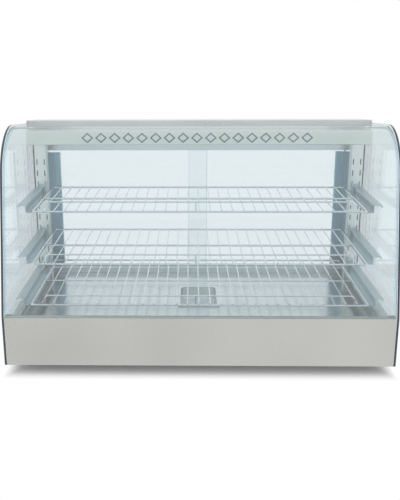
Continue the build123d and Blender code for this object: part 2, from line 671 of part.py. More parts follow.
# Sliding doors: a sheet of glass, a handle profile up its outer edge and two glides under it
DOOR_GLASS = 4.0
DOOR_OUTER = 427.0
DOOR_OVERLAP = 25.0
DOOR_BOTTOM = GROOVE_FLOOR + 2.0
DOOR_TOP = TOP_TRACK_BOTTOM + 11.0
HANDLE_WIDTH = 48.0
HANDLE_BOTTOM = SILL_TOP + 2.0
HANDLE_TOP = TOP_TRACK_BOTTOM - 7.0
HANDLE_THICKNESS = 13.0
for name, sign, door_y in (("left", -1, INNER_DOOR_Y), ("right", 1, OUTER_DOOR_Y)):
    door_middle = sign * (DOOR_OUTER - DOOR_OVERLAP) / 2
    door_width = DOOR_OUTER + DOOR_OVERLAP
    with BuildPart() as door_glass:
        with BuildSketch(Plane.XY.offset(DOOR_BOTTOM)):
            with Locations((door_middle, door_y)):
                Rectangle(door_width, DOOR_GLASS)
        extrude(amount=DOOR_TOP - DOOR_BOTTOM)
        chamfer(door_glass.edges().filter_by(Axis.Z), length=0.6)
    door_glass.part.label = f"{name}_door_glass"
    export_step(door_glass.part, f"parts/{name}_door_glass.step")

    # Handle: a ribbed profile with a slot for the glass and a finger groove on the rear face
    handle_x = sign * (DOOR_OUTER + 1.0)
    with BuildPart() as door_handle:
        with BuildSketch(Plane.XY.offset(HANDLE_BOTTOM)):
            with Locations((handle_x - sign * HANDLE_WIDTH / 2, door_y)):
                RectangleRounded(HANDLE_WIDTH, HANDLE_THICKNESS, 1.5)
            with Locations((handle_x - sign * (1.0 + HANDLE_WIDTH / 2), door_y)):
                Rectangle(HANDLE_WIDTH, DOOR_GLASS, mode=Mode.SUBTRACT)
            front_face = door_y - HANDLE_THICKNESS / 2
            rear_face = door_y + HANDLE_THICKNESS / 2
            with Locations((handle_x - sign * HANDLE_WIDTH / 2, front_face)):
                with GridLocations(9, 0, 4, 1):
                    Rectangle(3.0, 2.4, mode=Mode.SUBTRACT)
            with Locations((handle_x - sign * (HANDLE_WIDTH / 2 - 4), rear_face)):
                Rectangle(20.0, 5.6, mode=Mode.SUBTRACT)
        extrude(amount=HANDLE_TOP - HANDLE_BOTTOM)
    door_handle.part.label = f"{name}_door_handle"
    export_step(door_handle.part, f"parts/{name}_door_handle.step")

    with BuildPart() as door_glides:
        for x in (sign * (DOOR_OUTER - 60), -sign * (DOOR_OVERLAP - 60)):
            with BuildSketch(Plane.YZ.offset(x - 16)):
                with Locations((door_y, GROOVE_FLOOR + GAP)):
                    Rectangle(GROOVE - 1.0, 7.0, align=(Align.CENTER, Align.MIN))
                with Locations((door_y, DOOR_BOTTOM)):
                    Rectangle(DOOR_GLASS, 7.0, align=(Align.CENTER, Align.MIN), mode=Mode.SUBTRACT)
            extrude(amount=32)
    door_glides.part.label = f"{name}_door_glides"
    export_step(door_glides.part, f"parts/{name}_door_glides.step")

# Sheathed heating elements under the deck, one hairpin on each side of the water pan
HEATER_RADIUS = 4.0
HEATER_Z = 82.0
HEATER_INNER = 110.0
HEATER_OUTER = 390.0
for name, sign in SIDES:
    with BuildPart() as heater:
        with BuildLine():
            heater_path = FilletPolyline(
                (sign * HEATER_INNER, 170, HEATER_Z),
                (sign * HEATER_INNER, -190, HEATER_Z),
                (sign * (HEATER_INNER + 90), -190, HEATER_Z),
                (sign * (HEATER_INNER + 90), 120, HEATER_Z),
                (sign * (HEATER_OUTER - 90), 120, HEATER_Z),
                (sign * (HEATER_OUTER - 90), -190, HEATER_Z),
                (sign * HEATER_OUTER, -190, HEATER_Z),
                (sign * HEATER_OUTER, 170, HEATER_Z),
                radius=40,
            )
        with BuildSketch(Plane(heater_path @ 0, z_dir=heater_path % 0)):
            RegularPolygon(HEATER_RADIUS, 8)
        sweep()
    heater.part.label = f"{name}_heating_element"
    export_step(heater.part, f"parts/{name}_heating_element.step")

# Thermostat: body behind the panel, knob with its spindle, and the sensing bulb under the deck
SPINDLE_RADIUS = 3.0
PANEL_INNER = BACK_PLANE - 0.2
KNOB_FACE = REAR + 1.0
KNOB_END = REAR + 20.0
with BuildPart() as thermostat_body:
    with BuildSketch(Plane.XZ.offset(-PANEL_INNER)):
        with Locations((KNOB_X, CONTROL_Z)):
            RectangleRounded(44, 36, 4)
    extrude(amount=24)
    with BuildSketch(Plane.XZ.offset(-PANEL_INNER)):
        with Locations((KNOB_X, CONTROL_Z)):
            Circle(SPINDLE_RADIUS + 0.05)
    extrude(amount=14, mode=Mode.SUBTRACT)
thermostat_body.part.label = "thermostat_body"
export_step(thermostat_body.part, "parts/thermostat_body.step")

with BuildPart() as thermostat_knob:
    with BuildSketch(Plane.XZ.offset(-KNOB_FACE)):
        with Locations((KNOB_X, CONTROL_Z)):
            Circle(21)
    extrude(amount=-4)
    with BuildSketch(Plane.XZ.offset(-(KNOB_FACE + 4))):
        with Locations((KNOB_X, CONTROL_Z)):
            Circle(17)
            with PolarLocations(18.4, 12):
                Circle(2.6, mode=Mode.SUBTRACT)
    extrude(amount=-(KNOB_END - KNOB_FACE - 4))
    chamfer(thermostat_knob.faces().sort_by(Axis.Y)[-1].edges(), length=1.0)
    with BuildSketch(Plane.XZ.offset(-KNOB_FACE)):
        with Locations((KNOB_X, CONTROL_Z)):
            Circle(SPINDLE_RADIUS)
    extrude(amount=KNOB_FACE - PANEL_INNER + 13)
thermostat_knob.part.label = "thermostat_knob"
export_step(thermostat_knob.part, "parts/thermostat_knob.step")

BULB_RADIUS = 3.0
with BuildPart() as thermostat_bulb:
    with BuildSketch(Plane.YZ.offset(KNOB_X - 95)):
        with Locations((60, DECK_TOP - 12)):
            Circle(BULB_RADIUS)
    extrude(amount=90)
    fillet(thermostat_bulb.edges(), radius=1.5)
thermostat_bulb.part.label = "thermostat_bulb"
export_step(thermostat_bulb.part, "parts/thermostat_bulb.step")

# Rocker switches: a bezel and body with a rocker that tips about its middle
ROCKER_TILT = 12.0
ROCKER_AXIS_Y = REAR - 7.0
BEZEL = 3.0
for name, switch_x in (("power", POWER_X), ("lamp", LAMP_X)):
    with BuildPart() as switch_body:
        with BuildSketch(Plane.XZ.offset(-(REAR + 0.1))):
            with Locations((switch_x, CONTROL_Z)):
                RectangleRounded(SWITCH_WIDTH + 2 * BEZEL, SWITCH_HEIGHT + 2 * BEZEL, 2)
        extrude(amount=-2.0)
        with BuildSketch(Plane.XZ.offset(-(REAR + 0.1))):
            with Locations((switch_x, CONTROL_Z)):
                Rectangle(SWITCH_WIDTH - 0.6, SWITCH_HEIGHT - 0.6)
        extrude(amount=26)
        with BuildSketch(Plane.XZ.offset(-(REAR + 2.1))):
            with Locations((switch_x, CONTROL_Z)):
                Rectangle(SWITCH_WIDTH - 4, SWITCH_HEIGHT - 3)
        extrude(amount=22, mode=Mode.SUBTRACT)
    switch_body.part.label = f"{name}_switch_body"
    export_step(switch_body.part, f"parts/{name}_switch_body.step")

    # The rocker lies tipped at rest, with its upper half pressed in
    rocker_frame = Plane(
        origin=(switch_x - (SWITCH_WIDTH - 5) / 2, ROCKER_AXIS_Y, CONTROL_Z),
        x_dir=(0, cos(radians(ROCKER_TILT)), tan(radians(ROCKER_TILT)) * cos(radians(ROCKER_TILT))),
        z_dir=(1, 0, 0),
    )
    with BuildPart() as switch_rocker:
        with BuildSketch(rocker_frame):
            with BuildLine():
                Polyline((9.5, -10.2), (-4, -6), (-4, 6), (9.5, 10.2))
                ThreePointArc((9.5, 10.2), (6.8, 0), (9.5, -10.2))
            make_face()
        extrude(amount=SWITCH_WIDTH - 5)
    switch_rocker.part.label = f"{name}_switch_rocker"
    export_step(switch_rocker.part, f"parts/{name}_switch_rocker.step")

# Heat indicator lens, cable gland and terminal block
with BuildPart() as indicator_lamp:
    with BuildSketch(Plane.XZ.offset(-(REAR + 0.1))):
        with Locations((INDICATOR_X, CONTROL_Z)):
            Circle(7.5)
    extrude(amount=-2.0)
    with BuildSketch(Plane.XZ.offset(-(REAR + 2.1))):
        with Locations((INDICATOR_X, CONTROL_Z)):
            Circle(5.5)
    extrude(amount=-4.0, taper=25)
    with BuildSketch(Plane.XZ.offset(-(REAR + 0.1))):
        with Locations((INDICATOR_X, CONTROL_Z)):
            Circle(5.2)
    extrude(amount=22)
indicator_lamp.part.label = "indicator_lamp"
export_step(indicator_lamp.part, "parts/indicator_lamp.step")

CORD_HOLE = 3.6
GLAND_END = REAR + 17.0
with BuildPart() as cable_gland:
    with BuildSketch(Plane.XZ.offset(-(REAR + 0.1))):
        with Locations((GLAND_X, CONTROL_Z)):
            RegularPolygon(12, 6)
    extrude(amount=-5)
    with BuildSketch(Plane.XZ.offset(-(REAR + 5.1))):
        with Locations((GLAND_X, CONTROL_Z)):
            Circle(9.5)
    extrude(amount=-(GLAND_END - REAR - 5.1), taper=12)
    with BuildSketch(Plane.XZ.offset(-(REAR + 0.1))):
        with Locations((GLAND_X, CONTROL_Z)):
            Circle(GLAND_BORE - 0.2)
    extrude(amount=14)
    with BuildSketch(Plane.XZ.offset(-GLAND_END)):
        with Locations((GLAND_X, CONTROL_Z)):
            Circle(CORD_HOLE)
    extrude(amount=GLAND_END - REAR + 14, mode=Mode.SUBTRACT)
cable_gland.part.label = "cable_gland"
export_step(cable_gland.part, "parts/cable_gland.step")

TERMINALS = 6
with BuildPart() as terminal_block:
    with BuildSketch(Plane.XY.offset(BOTTOM_PLATE + SHEET)):
        with Locations((GLAND_X + 60, 170)):
            Rectangle(72, 22)
    extrude(amount=16)
    with BuildSketch(Plane.XY.offset(BOTTOM_PLATE + SHEET + 16)):
        with Locations((GLAND_X + 60, 170)):
            with GridLocations(11, 0, TERMINALS, 1):
                Rectangle(7, 14)
    extrude(amount=-9, mode=Mode.SUBTRACT)
terminal_block.part.label = "terminal_block"
export_step(terminal_block.part, "parts/terminal_block.step")

# Pan-head screws of the control panel and the roof
with BuildPart() as panel_screws:
    with BuildSketch(Plane.XZ.offset(-(REAR + 0.1))):
        with Locations(*PANEL_SCREWS, *ROOF_SCREWS):
            Circle(SCREW_HEAD)
    extrude(amount=-2.2, taper=20)
    with BuildSketch(Plane.XZ.offset(-(REAR + 0.1))):
        with Locations(*PANEL_SCREWS, *ROOF_SCREWS):
            Circle(SCREW_SHANK)
    extrude(amount=8)
panel_screws.part.label = "panel_screws"
export_step(panel_screws.part, "parts/panel_screws.step")
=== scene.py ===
"""Looks of a countertop heated display case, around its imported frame. Metres, Z up, front at -Y."""

import logging
import math
from dataclasses import dataclass
from enum import Enum, StrEnum

import bmesh
import bpy
from bpy.types import ID, Material, Mesh, Node, NodeSocket, NodeTree, Object
from mathutils import Matrix, Vector


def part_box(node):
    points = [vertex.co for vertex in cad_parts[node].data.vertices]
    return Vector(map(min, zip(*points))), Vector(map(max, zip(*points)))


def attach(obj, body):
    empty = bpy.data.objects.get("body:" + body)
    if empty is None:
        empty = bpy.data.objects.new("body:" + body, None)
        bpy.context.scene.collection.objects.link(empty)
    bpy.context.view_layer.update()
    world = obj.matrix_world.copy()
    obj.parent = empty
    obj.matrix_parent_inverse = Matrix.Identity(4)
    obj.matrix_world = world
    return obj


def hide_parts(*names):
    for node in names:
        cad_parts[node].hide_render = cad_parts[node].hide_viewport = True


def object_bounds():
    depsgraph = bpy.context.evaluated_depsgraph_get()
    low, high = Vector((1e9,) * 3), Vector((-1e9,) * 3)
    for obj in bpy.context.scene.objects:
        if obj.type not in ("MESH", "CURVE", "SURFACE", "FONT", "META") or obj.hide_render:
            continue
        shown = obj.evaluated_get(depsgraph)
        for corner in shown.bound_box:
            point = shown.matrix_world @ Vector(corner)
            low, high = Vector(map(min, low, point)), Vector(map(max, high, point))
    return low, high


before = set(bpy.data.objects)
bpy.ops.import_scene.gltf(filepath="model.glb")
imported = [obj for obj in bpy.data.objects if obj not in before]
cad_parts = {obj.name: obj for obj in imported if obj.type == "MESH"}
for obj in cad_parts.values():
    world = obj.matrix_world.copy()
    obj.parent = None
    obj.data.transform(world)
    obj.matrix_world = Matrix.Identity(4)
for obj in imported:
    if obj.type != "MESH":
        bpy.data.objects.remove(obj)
CAD_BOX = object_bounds()

log = logging.getLogger("display_case")

Colour = tuple[float, float, float]
Point = tuple[float, float, float]

MM = 0.001

# Points of a CAD mesh that are nearer than this are one point
MERGE_GAP = 0.004 * MM
# Neighbouring facets of a CAD mesh that turn by less than this are one face
FLAT_ANGLE = math.radians(0.4)
# How much of a face's normal lies along an axis, at least, for a face that looks along it
FACING = 0.9
# How far in front of a glass sheet's rear end an edge lies, at least, that butts against a piece
BUTT_REACH = 10 * MM
# The edges of a glass sheet that turn by more than this, in degrees, are sharp
PANE_ANGLE = 30.0


class Side(StrEnum):
    """The two ends of the case, as the customer sees them."""

    LEFT = "left"
    RIGHT = "right"

    @property
    def sign(self) -> int:
        """-1 on the left and 1 on the right."""
        return -1 if self is Side.LEFT else 1

    def outer(self, node: str) -> float:
        """The X of a CAD node's outer end."""
        low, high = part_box(node)
        return low.x if self is Side.LEFT else high.x


class Tier(StrEnum):
    """The three shelf heights."""

    UPPER = "upper"
    MIDDLE = "middle"
    LOWER = "lower"


class Grain(Enum):
    """The way that brushing lines run, with how far a pattern is squeezed along X, Y and Z."""

    ALONG_X = (1.0, 60.0, 60.0)
    ALONG_Y = (60.0, 1.0, 60.0)
    ALONG_Z = (60.0, 60.0, 1.0)


class Socket:
    """A number inside a material, which Python arithmetic turns into Math nodes."""

    def __init__(self, graph: "MaterialGraph", socket: NodeSocket) -> None:
        """Wraps one output socket.

        Args:
            graph: The material that the socket is in.
            socket: The output socket to calculate with.
        """
        self.graph = graph
        self.socket = socket

    def _math(self, operation: str, *terms: "Socket | float", clamp: bool = False) -> "Socket":
        """Adds one Math node.

        Args:
            operation: Blender's name for the sum.
            terms: What goes into its sockets, in order.
            clamp: True to hold the result between 0 and 1.

        Returns:
            The node's result.
        """
        node = self.graph.node(
            "Math", {"operation": operation, "use_clamp": clamp}, dict(enumerate(terms))
        )
        return Socket(self.graph, node.outputs[0])

    def __add__(self, other: "Socket | float") -> "Socket":
        """self + other."""
        return self._math("ADD", self, other)

    __radd__ = __add__

    def __sub__(self, other: "Socket | float") -> "Socket":
        """self - other."""
        return self._math("SUBTRACT", self, other)

    def __mul__(self, other: "Socket | float") -> "Socket":
        """self * other."""
        return self._math("MULTIPLY", self, other)

    __rmul__ = __mul__

    def __truediv__(self, other: "Socket | float") -> "Socket":
        """self / other."""
        return self._math("DIVIDE", self, other)

    def __pow__(self, other: float) -> "Socket":
        """self to the power of other."""
        return self._math("POWER", self, other)

    def __abs__(self) -> "Socket":
        """The size of self, without its sign."""
        return self._math("ABSOLUTE", self)

    def larger(self, other: "Socket | float") -> "Socket":
        """The larger of self and other."""
        return self._math("MAXIMUM", self, other)

    def clamped(self) -> "Socket":
        """Self, held between 0 and 1."""
        return self._math("ADD", self, 0.0, clamp=True)


class MaterialGraph:
    """One material's node tree, built up node by node."""

    def __init__(self, tree: NodeTree) -> None:
        """Starts from an empty tree.

        Args:
            tree: The material's or the world's node tree.
        """
        self.tree = tree
        tree.nodes.clear()

    def node(
        self,
        kind: str,
        settings: dict[str, object] | None = None,
        inputs: dict[str | int, object] | None = None,
    ) -> Node:
        """Adds a node.

        Args:
            kind: Blender's class name of the node, without the ShaderNode that starts it.
            settings: Its properties.
            inputs: What each input socket holds or is linked to, by name or number.

        Returns:
            The new node.
        """
        node = self.tree.nodes.new("ShaderNode" + kind)
        for name, value in (settings or {}).items():
            setattr(node, name, value)
        for name, value in (inputs or {}).items():
            self.feed(node.inputs[name], value)
        return node

    def feed(self, target: NodeSocket, value: object) -> None:
        """Links a socket, or sets its value.

        Args:
            target: The input socket.
            value: A Socket, a node's output socket, a number or a colour.
        """
        if isinstance(value, Socket):
            self.tree.links.new(value.socket, target)
        elif isinstance(value, NodeSocket):
            self.tree.links.new(value, target)
        elif target.type == "RGBA" and len(value) == 3:
            target.default_value = (*value, 1.0)
        else:
            target.default_value = value

    def number(self, socket: NodeSocket) -> Socket:
        """Wraps an output socket for arithmetic."""
        return Socket(self, socket)

    def noise(self, squeeze: Point, scale: float, detail: float, rough: float = 0.55) -> Socket:
        """Noise on the piece's own coordinates.

        Args:
            squeeze: How far the pattern is squeezed along X, Y and Z.
            scale: Its size, as repeats in a metre.
            detail: How many finer layers it has.
            rough: How strong the finer layers are.

        Returns:
            The noise, from 0 to 1 with its middle at 0.5.
        """
        place = self.node("TexCoord").outputs["Object"]
        mapped = self.node("Mapping", inputs={"Vector": place, "Scale": squeeze}).outputs[0]
        settings = {"Vector": mapped, "Scale": scale, "Detail": detail, "Roughness": rough}
        return self.number(self.node("TexNoise", inputs=settings).outputs[0])

    def blend(self, share: Socket | float, first: object, second: object) -> NodeSocket:
        """Mixes two colours.

        Args:
            share: How much of the second shows.
            first: The colour at 0.
            second: The colour at 1.

        Returns:
            The mixed colour's socket.
        """
        mix = self.node("Mix", {"data_type": "RGBA"}, {0: share, 6: first, 7: second})
        return mix.outputs[2]

    def tones(self, share: Socket, tone: Colour, dark: float, light: float) -> NodeSocket:
        """A colour that varies about a tone.

        Args:
            share: How much of the light end shows.
            tone: The colour that both ends are made from.
            dark: The factor of the dark end.
            light: The factor of the light end.

        Returns:
            The colour's socket.
        """
        return self.blend(share, shade(tone, dark), shade(tone, light))

    def bump(self, height: Socket, depth: float, strength: float) -> NodeSocket:
        """A normal that follows a height.

        Args:
            height: The height pattern, from 0 to 1.
            depth: How deep the pattern is, in metres.
            strength: How much of it shows.

        Returns:
            The normal's socket.
        """
        settings = {"Height": height, "Distance": depth, "Strength": strength}
        return self.node("Bump", inputs=settings).outputs[0]

    def principled(self, inputs: dict[str, object]) -> NodeSocket:
        """A Principled shader with the given sockets."""
        return self.node("BsdfPrincipled", inputs=inputs).outputs[0]

    def surface(self, shader: NodeSocket, output: str = "OutputMaterial") -> None:
        """Sends a shader to the output."""
        self.node(output, inputs={"Surface": shader})

    def cover(self, inputs: dict[str, object]) -> None:
        """Covers the piece with a Principled shader that has the given sockets."""
        self.surface(self.principled(inputs))


def shade(colour: Colour, factor: float) -> Colour:
    """A lighter or darker version of a colour."""
    return tuple(min(1.0, part * factor) for part in colour)


# A noise pattern that isn't squeezed
EVEN = (1.0, 1.0, 1.0)
WHITE = (1.0, 1.0, 1.0)


@dataclass(frozen=True)
class Finish:
    """What every finish shares: a name, and one Blender material made when first asked for."""

    name: str

    def draw(self, graph: MaterialGraph) -> None:
        """Fills in the material's nodes."""
        raise NotImplementedError

    def material(self) -> Material:
        """The finish as a Blender material."""
        found = bpy.data.materials.get(self.name)
        if found is None:
            found = bpy.data.materials.new(self.name)
            found.use_nodes = True
            self.draw(MaterialGraph(found.node_tree))
        return found


@dataclass(frozen=True)
class BrushedMetal(Finish):
    """Satin sheet metal, brushed one way, with soft clouds that are partly smudges from handling and
    partly painted reflections.
    """

    grain: Grain
    tone: Colour = (0.53, 0.53, 0.512)
    roughness: float = 0.27
    grain_depth: float = 0.01 * MM

    def draw(self, graph: MaterialGraph) -> None:
        """Lines from squeezed noise, over soft clouds that are partly handling and partly painted
        reflections.
        """
        lines = graph.noise(self.grain.value, 40.0, detail=4.0, rough=0.6)
        clouds = graph.noise(EVEN, 4.0, detail=1.0)
        # The clouds swing the colour strongly: partly smudges from handling, partly painted reflections
        # of the surroundings.
        share = (lines * 0.22 + (clouds - 0.5) * 1.6 + 0.39).clamped()
        graph.cover({
            "Base Color": graph.tones(share, self.tone, 0.91, 1.09),
            "Metallic": 1.0,
            "Roughness": self.roughness + (lines - 0.5) * 0.09 + (clouds - 0.5) * 0.12,
            "Normal": graph.bump(lines, self.grain_depth, 0.12),
        })


@dataclass(frozen=True)
class MirrorMetal(Finish):
    """Bright metal with fine random wiping marks."""

    tone: Colour
    roughness: float
    wear: float = 0.08
    mark_depth: float = 0.006 * MM

    def draw(self, graph: MaterialGraph) -> None:
        """Wiping marks widen the shine, and a faint cloud darkens it."""
        marks = graph.noise((1.0, 9.0, 9.0), 60.0, detail=5.0, rough=0.75)
        clouds = graph.noise(EVEN, 11.0, detail=2.0)
        graph.cover({
            "Base Color": graph.tones(clouds, self.tone, 0.93, 1.06),
            "Metallic": 1.0,
            "Roughness": self.roughness + (marks ** 3.0) * self.wear,
            "Normal": graph.bump(marks, self.mark_depth, 0.4),
        })


@dataclass(frozen=True)
class PaneGlass(Finish):
    """The broad faces of a glass sheet: nearly clear, and more of a mirror at a glancing view."""

    tint: Colour
    film: float = 0.012
    mirror: float = 0.035
    mirror_tone: Colour = (0.94, 0.97, 0.98)

    def draw(self, graph: MaterialGraph) -> None:
        """A clear and a mirror shader, mixed by the angle and by a faint film of wiping marks."""
        facing = graph.number(graph.node("LayerWeight", inputs={"Blend": 0.5}).outputs[1])
        film = graph.noise(EVEN, 9.0, detail=5.0, rough=0.65)
        clear = graph.node("BsdfTransparent", inputs={"Color": self.tint}).outputs[0]
        mirror = graph.principled(
            {"Base Color": self.mirror_tone, "Metallic": 1.0, "Roughness": 0.02}
        )
        share = (facing ** 5.0) * 0.9 + self.mirror + film * self.film
        mix = graph.node("MixShader", inputs={0: share.clamped(), 1: clear, 2: mirror})
        graph.surface(mix.outputs[0])


@dataclass(frozen=True)
class GlassRim(Finish):
    """The ground edge of a glass sheet, where its own green-blue gathers."""

    tone: Colour
    spread: float = 0.35

    def draw(self, graph: MaterialGraph) -> None:
        """A deep glossy colour that drifts along the edge."""
        drift = graph.noise(EVEN, 14.0, detail=3.0)
        ground = graph.noise(EVEN, 900.0, detail=2.0)
        graph.cover({
            "Base Color": graph.tones(drift, self.tone, 1 - self.spread, 1 + self.spread),
            "Roughness": 0.12 + ground * 0.12,
            "Normal": graph.bump(ground, 0.01 * MM, 0.3),
        })


@dataclass(frozen=True)
class Moulded(Finish):
    """Plastic or rubber with a fine moulded texture."""

    tone: Colour
    roughness: float
    texture: float = 0.04 * MM
    coat: float = 0.0

    def draw(self, graph: MaterialGraph) -> None:
        """A fine pebble in the bump, and a slow drift in the colour and the shine."""
        pebble = graph.noise(EVEN, 1500.0, detail=2.0)
        drift = graph.noise(EVEN, 30.0, detail=3.0)
        graph.cover({
            "Base Color": graph.tones(drift, self.tone, 0.88, 1.12),
            "Roughness": self.roughness + (drift - 0.5) * 0.15,
            "Coat Weight": self.coat,
            "Normal": graph.bump(pebble, self.texture, 0.5),
        })


@dataclass(frozen=True)
class Glowing(Finish):
    """A translucent lens or lamp part that gives off a little light of its own."""

    tone: Colour
    glow: float
    roughness: float = 0.3

    def draw(self, graph: MaterialGraph) -> None:
        """A soft colour with an even glow."""
        drift = graph.noise(EVEN, 40.0, detail=2.0)
        colour = graph.tones(drift, self.tone, 0.92, 1.05)
        graph.cover({
            "Base Color": colour,
            "Roughness": self.roughness + drift * 0.05,
            "Emission Color": colour,
            "Emission Strength": self.glow,
        })


@dataclass(frozen=True)
class HeatStained(Finish):
    """A metal sheath that heat has browned in bands."""

    tone: Colour = (0.20, 0.18, 0.165)
    stain: Colour = (0.30, 0.20, 0.12)

    def draw(self, graph: MaterialGraph) -> None:
        """Bands of stain over a dull metal."""
        bands = graph.noise((6.0, 6.0, 1.0), 8.0, detail=5.0)
        fine = graph.noise(EVEN, 500.0, detail=2.0)
        graph.cover({
            "Base Color": graph.blend(bands, self.tone, self.stain),
            "Metallic": 0.8,
            "Roughness": 0.42 + (fine - 0.5) * 0.2,
            "Normal": graph.bump(fine, 0.03 * MM, 0.4),
        })


SHEET_ACROSS = BrushedMetal("steel_brushed_across", Grain.ALONG_X)
SHEET_DEEP = BrushedMetal("steel_brushed_front_to_back", Grain.ALONG_Y, (0.60, 0.61, 0.60))
# Painted light: the rear posts' inner faces get this lighter, greener copy of the steel, and their
# outer faces the plainer copy below.
SHEET_UP_PAINTED_LIGHT = BrushedMetal("steel_brushed_upwards_painted_light", Grain.ALONG_Z, (0.84, 0.88, 0.86))
SHEET_UP_OUTSIDE = BrushedMetal("steel_post_outside", Grain.ALONG_Z, (0.66, 0.67, 0.66))
# Painted light: a lighter copy of the side panels' steel on their inward, upward faces.
LEDGE_PAINTED_LIGHT = BrushedMetal("steel_ledge_painted_light", Grain.ALONG_Y, (0.78, 0.85, 0.84))
VALANCE_SHEET = BrushedMetal("steel_valance", Grain.ALONG_X, (0.775, 0.81, 0.75), 0.33)
# Painted light: a near-white copy of the steel on the lamp housing's upward faces.
HOUSING_TOP_PAINTED_LIGHT = BrushedMetal("steel_housing_top_painted_light", Grain.ALONG_X, (0.93, 0.95, 0.94), 0.5)
ROOF_SHEET = BrushedMetal("steel_roof", Grain.ALONG_X, (0.68, 0.675, 0.67), 0.30)
# Painted reflection: the brackets' inner faces and the door clips get this bluer copy of the steel, and
# the brackets' outer faces the plainer copy below.
BRACKET_PAINTED_REFLECTION = BrushedMetal("steel_bracket", Grain.ALONG_Y, (0.51, 0.61, 0.65), 0.30)
BRACKET_OUTSIDE = BrushedMetal("steel_bracket_outside", Grain.ALONG_Y, (0.58, 0.60, 0.60), 0.30)
# Painted light: a lighter copy of the steel on the uprights' inner faces; their outer faces get the
# plainer steel_post_outside.
UPRIGHT_PAINTED_LIGHT = BrushedMetal("steel_upright", Grain.ALONG_Z, (0.83, 0.85, 0.82), 0.30)
POLISHED = MirrorMetal("steel_polished", (0.66, 0.69, 0.69), 0.18)
PAN_METAL = MirrorMetal("steel_pan", (0.80, 0.84, 0.83), 0.30, 0.14)
PLATED_WIRE = MirrorMetal("wire_plated", (0.72, 0.76, 0.78), 0.07)
SCREW_METAL = MirrorMetal("screw_plated", (0.68, 0.68, 0.67), 0.20, 0.20)
COPPER = MirrorMetal("copper_tube", (0.60, 0.34, 0.22), 0.30, 0.20)
# Painted reflection: the handles' front faces get this dark blue copy of the aluminium, and their rear
# faces the plainer copy below.
ALUMINIUM_PAINTED_REFLECTION = BrushedMetal("aluminium_painted_reflection", Grain.ALONG_Z, (0.26, 0.44, 0.55), 0.34)
ALUMINIUM_OUTSIDE = BrushedMetal("aluminium_outside", Grain.ALONG_Z, (0.50, 0.53, 0.54), 0.34)
TRACK_METAL = BrushedMetal("aluminium_track", Grain.ALONG_X, (0.684, 0.731, 0.735), 0.30)
FRONT_CLEAR = PaneGlass("glass_front", (0.912, 0.943, 0.951), 0.05, 0.065)
# Painted light: a paler, more mirror-like strip along the bent front glass's two ends, for the light
# that its edges let in.
FRONT_EDGE_PAINTED_LIGHT = PaneGlass("glass_front_band", (0.70, 0.84, 0.92), 0.05, 0.30)
SIDE_CLEAR = PaneGlass("glass_side", (0.955, 0.972, 0.975))
DOOR_CLEAR = PaneGlass("glass_door", (0.960, 0.975, 0.980))
SIDE_RIM = GlassRim("glass_rim_side", (0.040, 0.062, 0.078))
FRONT_RIM = GlassRim("glass_rim_front", (0.46, 0.64, 0.72), 0.15)
DOOR_RIM = GlassRim("glass_rim_door", (0.20, 0.30, 0.32))
RUBBER = Moulded("rubber_black", (0.022, 0.022, 0.024), 0.6, 0.06 * MM)
SEAL = Moulded("seal_grey", (0.44, 0.53, 0.54), 0.5, 0.03 * MM)
# Painted shade: a dark sheet on the uprights' inner faces, where little light gets in.
PAINTED_SHADE_INSIDE = Moulded("painted_shade_inside", (0.03, 0.035, 0.038), 0.6, 0.02 * MM)
BLACK_PLASTIC = Moulded("plastic_black", (0.028, 0.028, 0.03), 0.38)
WHITE_PLASTIC = Moulded("plastic_white", (0.76, 0.76, 0.74), 0.4)
RED_PLASTIC = Moulded("plastic_red", (0.50, 0.035, 0.03), 0.22, 0.02 * MM, 0.4)
PRINT_WHITE = Moulded("print_white", (0.80, 0.80, 0.78), 0.5, 0.01 * MM)
ETCHED = Moulded("etched_grey", (0.11, 0.145, 0.16), 0.45, 0.02 * MM)
AMBER_LENS = Glowing("lens_amber", (0.85, 0.36, 0.04), 0.25, 0.15)
OPAL = Glowing("opal_sheet", (0.90, 0.92, 0.91), 0.25)
FROSTED_TUBE = Glowing("lamp_tube_frosted", (0.92, 0.92, 0.90), 0.4)
HEATER_METAL = HeatStained("heater_sheath")


